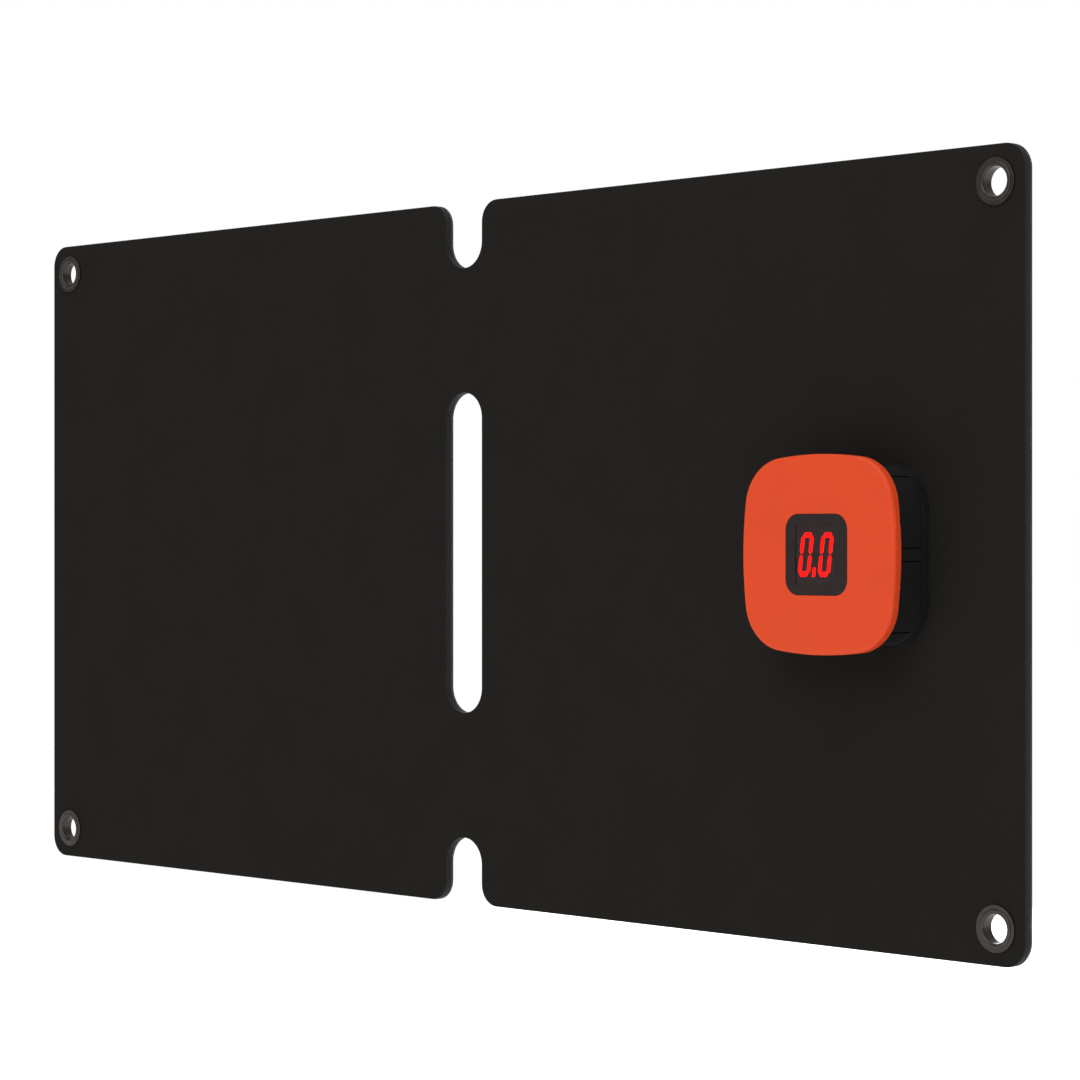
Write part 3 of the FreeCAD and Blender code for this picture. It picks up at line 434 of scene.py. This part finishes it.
def cell_material():
    """Blue-black silicon with fine printed fingers across each strip and a slow change of tone."""
    m = Mat("silicon_cell")
    p = m.object_place()
    x, y, z = apart(m, p)
    finger = m.math("PINGPONG", z, 0.00065)
    line = m.span(finger, 0.0, 0.00014, 1.0, 0.0)
    tone = m.noise(p, 14.0, 2.0)
    speck = m.noise(p, 900.0, 2.0)
    col = m.mix(m.span(tone, 0.35, 0.65), colour(21, 25, 35), colour(26, 30, 41))
    col = m.mix(m.span(speck, 0.35, 0.7, 0.0, 0.12), col, colour(36, 42, 58))
    col = m.mix(m.math("MULTIPLY", line, 0.03), col, colour(110, 112, 116))
    b = m.principled(Base_Color=col, Roughness=m.span(speck, 0.3, 0.7, 0.42, 0.52), Normal=m.bump(speck, 0.000004, 0.2))
    b.inputs["Specular IOR Level"].default_value = 0.08
    return m.done(b.outputs[0])


def ribbon_material():
    """Tinned copper ribbon, soft silver, with darker bands at the film's dot row pitch: painted shade of the domes
    above it, with a slight matching bump.
    """
    m = Mat("tinned_ribbon")
    p = m.object_place()
    x, y, z = apart(m, p)
    # painted shade: darker bands every 2.82 mm, the film's dot rows, over the ribbon's silver
    painted_dot_shade_wave = m.math("SINE", m.math("MULTIPLY", z, math.pi / 0.00141))
    smear = m.noise(p, 900.0, 3.0)
    col = m.mix(m.span(smear, 0.3, 0.7), colour(150, 150, 149), colour(182, 182, 180))
    col = m.mix(m.span(painted_dot_shade_wave, -0.7, 0.7, 0.0, 0.75, True), col, colour(92, 92, 92))
    b = m.principled(Base_Color=col, Roughness=m.span(smear, 0.3, 0.7, 0.32, 0.5), Normal=m.bump(m.math("ADD", smear, m.math("MULTIPLY", painted_dot_shade_wave, 0.3)), 0.00003, 0.5))
    b.inputs["Metallic"].default_value = 0.35
    b.inputs["Specular IOR Level"].default_value = 0.3
    return m.done(b.outputs[0])


def metal_material(name, base, rough, grain_scale=1800.0, vary=0.2, tarnish=None):
    """Plated metal: turned marks, smudges and darker tarnish in the low places."""
    m = Mat(name)
    p = m.object_place()
    smudge, fine = m.noise(p, 350.0, 4.0), m.noise(p, grain_scale * 4, 3.0, 0.6)
    dark = tuple(c * (1 - vary) for c in base[:3]) + (1.0,)
    light = tuple(min(1, c * (1 + vary)) for c in base[:3]) + (1.0,)
    col = m.mix(m.span(smudge, 0.3, 0.7), dark, light)
    if tarnish is not None:
        edge = m.node("ShaderNodeNewGeometry").outputs["Pointiness"]
        col = m.mix(m.span(edge, 0.40, 0.50, 0.8, 0.0), col, tarnish)
    b = m.principled(Base_Color=col, Roughness=m.span(m.math("ADD", smudge, m.math("MULTIPLY", fine, 0.5)), 0.4, 1.1, rough - 0.08, rough + 0.12), Normal=m.bump(fine, 0.00001, 0.5))
    b.inputs["Metallic"].default_value = 1.0
    return m.done(b.outputs[0])


def window_material():
    """Smoked clear plastic over the display, with a dark border printed round the part that is looked through."""
    m = Mat("smoked_window")
    p = m.object_place()
    x, y, z = apart(m, p)
    cloud = m.noise(p, 300.0, 3.0)
    dx = m.math("SUBTRACT", m.math("ABSOLUTE", m.math("SUBTRACT", x, LOOK[0] * MM)), (LOOK[1] - 1.0) * MM)
    dz = m.math("SUBTRACT", m.math("ABSOLUTE", z), (LOOK[2] - 1.0) * MM)
    ax, az = m.math("MAXIMUM", dx, 0.0), m.math("MAXIMUM", dz, 0.0)
    far = m.math("SQRT", m.math("ADD", m.math("MULTIPLY", ax, ax), m.math("MULTIPLY", az, az)))
    printed = m.span(far, 0.00085, 0.00105)
    clear = m.node("ShaderNodeBsdfTransparent", {"Color": m.mix(m.span(cloud, 0.3, 0.7), (0.76, 0.62, 0.62, 1), (0.80, 0.66, 0.66, 1))}).outputs[0]
    ink = m.node("ShaderNodeBsdfDiffuse", {"Color": m.mix(m.span(cloud, 0.3, 0.7), (0.026, 0.0205, 0.0205, 1), (0.029, 0.0230, 0.0230, 1))}).outputs[0]
    body = m.node("ShaderNodeMixShader", {0: m.math("MAXIMUM", printed, 0.45), 1: clear, 2: ink}).outputs[0]
    gloss = m.node("ShaderNodeBsdfGlossy", {"Roughness": m.span(cloud, 0.3, 0.7, 0.12, 0.18), "Color": (0.6, 0.6, 0.6, 1)}).outputs[0]
    fres = m.math("MULTIPLY", m.node("ShaderNodeFresnel", {"IOR": 1.35}).outputs[0], 0.3)
    front = m.node("ShaderNodeMixShader", {0: fres, 1: body, 2: gloss}).outputs[0]
    back = m.node("ShaderNodeBsdfTransparent", {"Color": (1, 1, 1, 1)}).outputs[0]
    facing = m.node("ShaderNodeNewGeometry").outputs["Backfacing"]
    return m.done(m.node("ShaderNodeMixShader", {0: facing, 1: front, 2: back}).outputs[0])


def lit_material():
    """A lit red bar: bright, with a faint uneven tint."""
    m = Mat("lit_bar")
    p = m.object_place()
    n = m.noise(p, 1500.0, 2.0)
    col = m.mix(m.span(n, 0.3, 0.7), (1.0, 0.0, 0.0, 1), (1.0, 0.004, 0.0, 1))
    b = m.principled(Base_Color=(0.25, 0.0, 0.0, 1), Roughness=m.span(n, 0.3, 0.7, 0.55, 0.65), Emission_Color=col)
    b.inputs["Emission Strength"].default_value = 5.5
    b.inputs["Specular IOR Level"].default_value = 0.0
    return m.done(b.outputs[0])


def board_material():
    """Green solder mask with faint tracks."""
    m = Mat("solder_mask")
    p = m.object_place()
    x, y, z = apart(m, p)
    tracks = m.math("MULTIPLY", m.span(m.math("PINGPONG", x, 0.0009), 0.0003, 0.00035), m.span(m.noise(p, 220.0, 1.0), 0.48, 0.52))
    col = m.mix(m.math("MULTIPLY", tracks, 0.6), (0.008, 0.060, 0.022, 1), (0.020, 0.130, 0.050, 1))
    b = m.principled(Base_Color=col, Roughness=m.span(m.noise(p, 900.0, 2.0), 0.3, 0.7, 0.28, 0.4), Normal=m.bump(tracks, 0.00002, 0.5))
    return m.done(b.outputs[0])


EDGE_TONES = [(0.0, (0.030, 0.030, 0.029, 1)), (0.17, (0.022, 0.022, 0.021, 1)), (0.24, (0.010, 0.010, 0.010, 1)), (0.31, (0.016, 0.015, 0.014, 1)), (0.55, (0.011, 0.010, 0.010, 1)), (0.79, (0.015, 0.014, 0.013, 1)), (0.82, (0.009, 0.009, 0.008, 1)), (1.0, (0.012, 0.011, 0.011, 1))]
film_mat = film_material()
edge_mat = layers_material("pressed_edge", EDGE_TONES)
liner_mat = cloth_material("liner_sheet", (0.0300, 0.0295, 0.0280), 0.0011, "flat", spec=0.05, rough=0.85, depth=0.000015, vary=0.04, gap_shade=0.12)
back_mat = cloth_material("matte_back_cloth", (0.0148, 0.0138, 0.0122), 0.00085, "flat", spec=0.03, rough=0.95, depth=0.00005, vary=0.04)
web_mat = layers_material("web_core", EDGE_TONES)
board_edge_mat = layers_material("board_edge", EDGE_TONES, bends=False)

by_slot = {
    "encapsulant": film_mat,
    "cell": cell_material(),
    "ribbon": ribbon_material(),
    "stiffener": board_edge_mat,
    "eyelet": metal_material("gunmetal_eyelet", (0.068, 0.060, 0.055), 0.34, vary=0.12, tarnish=(0.035, 0.03, 0.027, 1)),
    "copper": metal_material("copper_strip", (0.70, 0.36, 0.22), 0.35),
    "adhesive": grained("foam_tape", (0.012, 0.012, 0.012), 0.9, 0.15, 2500.0, 0.0001),
    "base_plastic": grained("base_black", (0.0066, 0.0066, 0.0069), 0.55, 0.22, depth=0.000008, vary=0.06, wear=(0.013, 0.013, 0.013, 1), rough_vary=0.05),
    "case_plastic": grained("case_black", (0.0085, 0.0085, 0.0089), 0.45, 0.26, depth=0.000008, vary=0.06, wear=(0.016, 0.016, 0.016, 1), rough_vary=0.05),
    "cover_rubber": grained("silicone_cover", (0.0095, 0.0095, 0.0100), 0.58, 0.22, 6000.0, 0.000008, vary=0.05, rough_vary=0.04),
    "cap_plastic": grained("orange_cap", (0.66, 0.058, 0.012), 0.5, 0.2, 7000.0, 0.000012, vary=0.02, rough_vary=0.04),
    "seal": grained("seal_rubber", (0.010, 0.010, 0.010), 0.75, 0.2),
    "window": window_material(),
    "display_body": grained("display_body", (0.105, 0.100, 0.100), 0.7, 0.1, vary=0.06),
    "pcb": board_material(),
    "screw": metal_material("zinc_screw", (0.55, 0.55, 0.56), 0.32),
    "socket_steel": metal_material("nickel_shell", (0.62, 0.61, 0.58), 0.24),
    "socket_core": grained("socket_core", (0.012, 0.012, 0.012), 0.5, 0.35),
    "ferrite": grained("ferrite", (0.035, 0.035, 0.036), 0.7, 0.25, 3000.0, 0.00005),
    "capacitor": metal_material("can_aluminium", (0.66, 0.66, 0.68), 0.34),
    "chip": grained("chip_epoxy", (0.013, 0.013, 0.014), 0.55, 0.3),
}
slot_of = {part["node"]: part["material_slot"] for part in frame["record"]["subparts"]}
for name, ob in nodes.items():
    mat = by_slot.get(slot_of[name], board_edge_mat)
    ob.data.materials.clear()
    ob.data.materials.append(mat)


# ---------------------------------------------------------------- thin sheets that run across the fold
def thin_sheet(name, profile, spacing, materials, body_pts=None):
    """A closed sheet from its front to its back. profile is [(inset, y), ...] from the front face's rim to the back face's rim."""
    verts, flat, faces = [], [], []
    rings = []
    for d, y in profile:
        loops = whole_loops(d)
        ring = []
        for loop in loops:
            first = len(verts)
            verts += [(x, y, z) for x, z in loop]
            ring.append(list(range(first, first + len(loop))))
        rings.append(ring)
    for a, b in zip(rings, rings[1:]):
        for la, lb in zip(a, b):
            n = len(la)
            for i in range(n):
                j = (i + 1) % n
                faces.append(([la[i], la[j], lb[j], lb[i]], 1, True))
    extra = []
    for x in np.arange(-S + 0.5, S, 1.0):
        extra += [(float(x), float(z)) for z in np.arange(-H + 1, H, 2.0) if inside(x, z, 1.2)]
    for x in np.arange(S + spacing / 2, W, spacing):
        for z in np.arange(-H + spacing / 2, H, spacing):
            if inside(x, z, 1.5):
                extra += [(float(x), float(z)), (-float(x), float(z))]
    for x in (S, -S):
        extra += [(x, float(z)) for z in np.arange(-H + 1, H, 2.0) if inside(x, z, 1.2)]
    for ring, y, back in ((rings[0], profile[0][1], False), (rings[-1], profile[-1][1], True)):
        index = [v for loop in ring for v in loop]
        pts = [(verts[v][0], verts[v][2]) for v in index]
        edges, k = [], 0
        for loop in ring:
            n = len(loop)
            edges += [(k + i, k + (i + 1) % n) for i in range(n)]
            k += n
        first = len(verts)
        where = index + list(range(first, first + len(extra)))
        verts += [(x, y, z) for x, z in extra]
        for f in fill(pts, edges, extra):
            f = [where[v] for v in f]
            faces.append((f[::-1] if back else f, 0, True))
    flat = [(x * MM, z * MM) for x, y, z in verts]
    return build(name, verts, faces, flat, materials, sharp=35)


def face_out(ob):
    """Turns all faces outwards."""
    bm = bmesh.new()
    bm.from_mesh(ob.data)
    bmesh.ops.recalc_face_normals(bm, faces=bm.faces)
    bm.to_mesh(ob.data)
    bm.free()


cloth = thin_sheet("back_cloth", [(0.0, Y_CLOTH + 0.01), (0.0, Y_BACK - 0.22), (0.06, Y_BACK - 0.07), (0.22, Y_BACK)], 6.0, [back_mat, edge_mat])
liner = thin_sheet("backing_liner", [(0.0, Y_LINER), (0.0, Y_LINER_BACK - 0.01)], 8.0, [liner_mat, edge_mat])
for ob in (cloth, liner):
    face_out(ob)
    bake_map(ob, 0)
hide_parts("back_cloth_left", "back_cloth_right")
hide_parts("backing_liner_left", "backing_liner_right")


# ---------------------------------------------------------------- the front film, with its dots as real domes
COL, ROW, BASE, TALL = 2.442, 2.82, 0.93, 0.17


def film_half(name, side):
    i_max, j_max = int(W / COL) + 2, int(H / ROW) + 3
    place = {}
    verts, dome, faces = [], [], []
    for i in range(0, i_max):
        x = (i + 0.5) * COL
        for j in range(-j_max, j_max + 1):
            z = j * ROW + (ROW / 2 if i % 2 else 0)
            if x < BASE + 0.25 or not inside(x, z, BASE + 0.62) or math.hypot(x - EYE_X, abs(z) - EYE_Z) < 6.6:
                continue
            place[i, j] = len(verts)
            verts.append((x, Y_FILM - TALL, z))
            dome.append(1.0)
            for r, hgt, d in ((0.60 * BASE, 0.70 * TALL, 0.70), (BASE, 0.0, 0.0)):
                for k in range(6):
                    a = math.radians(60 * k)
                    verts.append((x + r * math.cos(a), Y_FILM - hgt, z + r * math.sin(a)))
                    dome.append(d)
    for (i, j), c in place.items():
        r1, r2 = c + 1, c + 7
        for k in range(6):
            n = (k + 1) % 6
            faces.append([c, r1 + k, r1 + n])
            faces.append([r1 + k, r2 + k, r2 + n, r1 + n])
        up = place.get((i, j + 1))
        ru = place.get((i + 1, j if i % 2 == 0 else j + 1))
        rd = place.get((i + 1, j - 1 if i % 2 == 0 else j))
        if up is not None:
            faces.append([r2 + 2, r2 + 1, up + 7 + 5, up + 7 + 4][::-1])
        if ru is not None:
            faces.append([r2 + 1, r2 + 0, ru + 7 + 4, ru + 7 + 3][::-1])
        if rd is not None:
            faces.append([r2 + 0, r2 + 5, rd + 7 + 3, rd + 7 + 2][::-1])
        if up is not None and ru is not None:
            faces.append([r2 + 1, ru + 7 + 3, up + 7 + 5])
        if ru is not None and rd is not None:
            faces.append([r2 + 0, rd + 7 + 2, ru + 7 + 4])
    # the lattice's own border
    seen = {}
    for f in faces:
        for a, b in zip(f, f[1:] + f[:1]):
            key = (min(a, b), max(a, b))
            seen[key] = seen.get(key, 0) + 1
    border = [e for e, n in seen.items() if n == 1]
    out = [(f, 0, True) for f in faces]
    # the rim, from the front's rounded edge to the back
    rings = []
    for d, y in ((0.30, Y_FILM), (0.09, Y_FILM + 0.07), (0.0, Y_FILM + 0.24), (0.0, Y_LINER - 0.02)):
        loops, marks = half_loops(d, 1)
        ring = []
        for loop in loops:
            first = len(verts)
            verts += [(x, y, z) for x, z in loop]
            dome += [0.0] * len(loop)
            ring.append(list(range(first, first + len(loop))))
        rings.append(ring)
    for a, b in zip(rings, rings[1:]):
        for w, (la, lb) in enumerate(zip(a, b)):
            n = len(la)
            for i in range(n):
                j = (i + 1) % n
                at_cut = w == 0 and abs(verts[la[i]][0]) < 1e-6 and abs(verts[la[j]][0]) < 1e-6
                if not at_cut:
                    out.append(([la[i], la[j], lb[j], lb[i]], 1, True))
    # between the lattice and the rim, and the back
    ids = sorted({v for e in border for v in e})
    ring = [v for loop in rings[0] for v in loop]
    index = ids + ring
    local = {v: k for k, v in enumerate(index)}
    edges = [(local[a], local[b]) for a, b in border]
    for loop in rings[0]:
        edges += [(local[loop[i]], local[loop[(i + 1) % len(loop)]]) for i in range(len(loop))]
    pts = [(verts[v][0], verts[v][2]) for v in index]
    for f in fill(pts, edges):
        out.append(([index[v] for v in f], 0, True))
    index = [v for loop in rings[-1] for v in loop]
    local = {v: k for k, v in enumerate(index)}
    edges = []
    for loop in rings[-1]:
        edges += [(local[loop[i]], local[loop[(i + 1) % len(loop)]]) for i in range(len(loop))]
    extra = [(float(x), float(z)) for x in np.arange(0.8, S + 0.1, 0.8) for z in np.arange(-H + 1, H, 2.5) if inside(x, z, 0.8)]
    first = len(verts)
    where = index + list(range(first, first + len(extra)))
    pts = [(verts[v][0], verts[v][2]) for v in index]
    verts += [(x, Y_LINER - 0.02, z) for x, z in extra]
    dome += [0.0] * len(extra)
    for f in fill(pts, edges, extra):
        out.append(([where[v] for v in f][::-1], 0, True))
    verts = [(x * side, y, z) for x, y, z in verts]
    if side < 0:
        out = [(f[::-1], m, s) for f, m, s in out]
    return build(name, verts, out, [(x * MM, z * MM) for x, y, z in verts], [film_mat, edge_mat], sharp=40, dome=dome)


films = []
for name, side, leaf in (("embossed_film_left", -1, "left"), ("embossed_film_right", 1, "right")):
    ob = film_half(name, side)
    bake_map(ob, 0)
    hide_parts("front_film_" + leaf, "encapsulant_" + leaf)
    films.append(ob)


# ---------------------------------------------------------------- the fold's core and its two conductors
def web_core(name, sign):
    """The pressed cloth between liner and back cloth in the fold, from the notch down to the slot."""
    y0, y1 = Y_LINER_BACK, Y_CLOTH
    cols = np.linspace(-S, S, 33)
    rows, ring = [], None
    verts, faces = [], []
    for x in cols:
        top = NOTCH_Z - math.sqrt(max(0.0, S * S - x * x))
        low = SLOT_Z + math.sqrt(max(0.0, S * S - x * x))
        zs = np.linspace(low, top, 13)
        rows.append([(x, z * sign) for z in zs])
    nx, nz = len(cols), 13
    for y in (y0, y1):
        for r in rows:
            verts += [(x, y, z) for x, z in r]
    def at(layer, i, j):
        return layer * nx * nz + i * nz + j
    for i in range(nx - 1):
        for j in range(nz - 1):
            faces.append(([at(0, i, j), at(0, i + 1, j), at(0, i + 1, j + 1), at(0, i, j + 1)], 0, True))
            faces.append(([at(1, i, j), at(1, i, j + 1), at(1, i + 1, j + 1), at(1, i + 1, j)], 0, True))
        for j in (0, nz - 1):
            faces.append(([at(0, i, j), at(1, i, j), at(1, i + 1, j), at(0, i + 1, j)], 0, True))
    for i in (0, nx - 1):
        for j in range(nz - 1):
            faces.append(([at(0, i, j), at(0, i, j + 1), at(1, i, j + 1), at(1, i, j)], 0, True))
    ob = build(name, verts, faces, [(x * MM, z * MM) for x, y, z in verts], [web_mat], sharp=40)
    face_out(ob)
    return ob


webs = []
for name, node, sign in (("web_core_upper", "fold_web_upper", 1), ("web_core_lower", "fold_web_lower", -1)):
    ob = web_core(name, sign)
    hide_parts(node)
    webs.append(ob)


def conductor_strips():
    src = nodes["fold_conductors"].data
    co = np.array([v.co for v in src.vertices]) / MM
    verts, faces = [], []
    for sign in (1, -1):
        part = co[co[:, 2] * sign > 0]
        lo, hi = part.min(0), part.max(0)
        xs = np.linspace(lo[0], hi[0], 34)
        first = len(verts)
        for x in xs:
            verts += [(x, lo[1] + 0.02, lo[2]), (x, lo[1] + 0.02, hi[2]), (x, hi[1] - 0.02, hi[2]), (x, hi[1] - 0.02, lo[2])]
        for i in range(len(xs) - 1):
            a, b = first + 4 * i, first + 4 * i + 4
            for k in range(4):
                n = (k + 1) % 4
                faces.append(([a + k, a + n, b + n, b + k], 0, False))
        faces.append(([first, first + 3, first + 2, first + 1], 0, False))
        e = first + 4 * (len(xs) - 1)
        faces.append(([e, e + 1, e + 2, e + 3], 0, False))
    ob = build("fold_conductor_strips", verts, faces, [(x * MM, z * MM) for x, y, z in verts], [by_slot["copper"]])
    face_out(ob)
    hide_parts("fold_conductors")
    return ob


strips = conductor_strips()
for ob in [cloth, liner, strips] + films + webs:
    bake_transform(ob)


# ---------------------------------------------------------------- the display's bars, lit and unlit
def bars():
    src = nodes["display_segments"]
    lit_mat, dim_mat = lit_material(), grained("unlit_bar", (0.125, 0.100, 0.100), 0.6, 0.1, 6000.0, 0.00001, vary=0.06)
    made = []
    for name, want, mat in (("display_bars_lit", True, lit_mat), ("display_bars_unlit", False, dim_mat)):
        bm = bmesh.new()
        bm.from_mesh(src.data)
        bmesh.ops.remove_doubles(bm, verts=bm.verts, dist=1e-7)
        left, drop = set(bm.verts), []
        while left:
            stack = [left.pop()]
            island = []
            while stack:
                v = stack.pop()
                island.append(v)
                for e in v.link_edges:
                    o = e.other_vert(v)
                    if o in left:
                        left.remove(o)
                        stack.append(o)
            xs, zs = [v.co.x for v in island], [v.co.z for v in island]
            middle = abs(sum(zs) / len(zs)) < 0.0004 and max(xs) - min(xs) > max(zs) - min(zs)
            if middle == want:
                drop += island
        bmesh.ops.delete(bm, geom=drop, context="VERTS")
        me = bpy.data.meshes.new(name)
        bm.to_mesh(me)
        bm.free()
        me.materials.clear()
        me.materials.append(mat)
        ob = bpy.data.objects.new(name, me)
        bpy.context.scene.collection.objects.link(ob)
        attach(ob, A)
        made.append(ob)
    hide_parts("display_segments")
    return made


bars()


# ---------------------------------------------------------------- camera
scene = bpy.context.scene
lo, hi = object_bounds()
centre = Vector(((lo.x + hi.x) / 2, Y_BACK * MM, (lo.z + hi.z) / 2))
cam_data = bpy.data.cameras.new("main_camera")
cam = bpy.data.objects.new("main_camera", cam_data)
scene.collection.objects.link(cam)
THETA, DIST, MARGIN = math.radians(47.4), 1.010, 0.90
cam.location = centre + Vector((-math.sin(THETA) * DIST, math.cos(THETA) * DIST, 0.004))
ends = []
for x in (lo.x, hi.x):
    v = Vector((x, Y_BACK * MM)) - cam.location.xy
    ends.append(math.atan2(v.x, v.y))
yaw, half = sum(ends) / 2, abs(ends[0] - ends[1]) / 2
look = Vector((math.sin(yaw), math.cos(yaw), 0))
cam.rotation_mode = "QUATERNION"
cam.rotation_quaternion = look.to_track_quat("-Z", "Y")
cam_data.sensor_width = 36.0
cam_data.lens = 18.0 * MARGIN / math.tan(half)
cam_data.clip_start, cam_data.clip_end = 0.01, 50.0
scene.camera = cam

# ---------------------------------------------------------------- floor, sky and lamps
scene.view_settings.view_transform = "Standard"
scene.view_settings.look = "None"
scene.view_settings.exposure = 0.0
scene.view_settings.gamma = 1.0

floor_me = bpy.data.meshes.new("studio_floor")
bm = bmesh.new()
bmesh.ops.create_circle(bm, cap_ends=True, segments=96, radius=12.0)
bm.to_mesh(floor_me)
bm.free()
floor = bpy.data.objects.new("studio_floor", floor_me)
floor.location = (0, 0, cad_lo.z - 0.30)
scene.collection.objects.link(floor)
fm = Mat("studio_white")
fp = fm.object_place()
fcol = fm.mix(fm.span(fm.noise(fp, 1.5, 3.0), 0.3, 0.7), (0.86, 0.86, 0.86, 1), (0.88, 0.88, 0.88, 1))
fb = fm.principled(Base_Color=fcol, Roughness=0.9)
fb.inputs["Specular IOR Level"].default_value = 0.1
fb.inputs["Emission Color"].default_value = (1, 1, 1, 1)
fb.inputs["Emission Strength"].default_value = 0.14
floor_me.materials.append(fm.done(fb.outputs[0]))

world = bpy.data.worlds.new("studio_sky")
world.use_nodes = True
wt = world.node_tree
bg = wt.nodes["Background"]
bg.inputs[0].default_value = (1.0, 1.0, 1.0, 1)
bg.inputs[1].default_value = 0.42
seen = wt.nodes.new("ShaderNodeBackground")
seen.inputs[0].default_value = (1.0, 1.0, 1.0, 1)
seen.inputs[1].default_value = 1.0
path, pick = wt.nodes.new("ShaderNodeLightPath"), wt.nodes.new("ShaderNodeMixShader")
wt.links.new(path.outputs["Is Camera Ray"], pick.inputs[0])
wt.links.new(bg.outputs[0], pick.inputs[1])
wt.links.new(seen.outputs[0], pick.inputs[2])
wt.links.new(pick.outputs[0], wt.nodes["World Output"].inputs["Surface"])
scene.world = world


def lamp(name, place, target, size, power, tint=(1, 1, 1)):
    data = bpy.data.lights.new(name, "AREA")
    data.shape = "RECTANGLE"
    data.size, data.size_y = size
    data.energy = power
    data.color = tint
    ob = bpy.data.objects.new(name, data)
    ob.location = place
    ob.rotation_mode = "QUATERNION"
    ob.rotation_quaternion = (Vector(target) - Vector(place)).to_track_quat("-Z", "Y")
    scene.collection.objects.link(ob)
    return ob


top = bpy.data.lights.new("overhead", "SUN")
top.energy, top.angle = 1.9, math.radians(60)
scene.collection.objects.link(bpy.data.objects.new("overhead", top))
lamp("back_key", (-0.9, 1.9, 1.3), (0, 0, 0), (1.4, 1.4), 20)
lamp("front_key", (1.7, -1.9, 0.42), (0, 0, 0), (1.4, 1.4), 24)
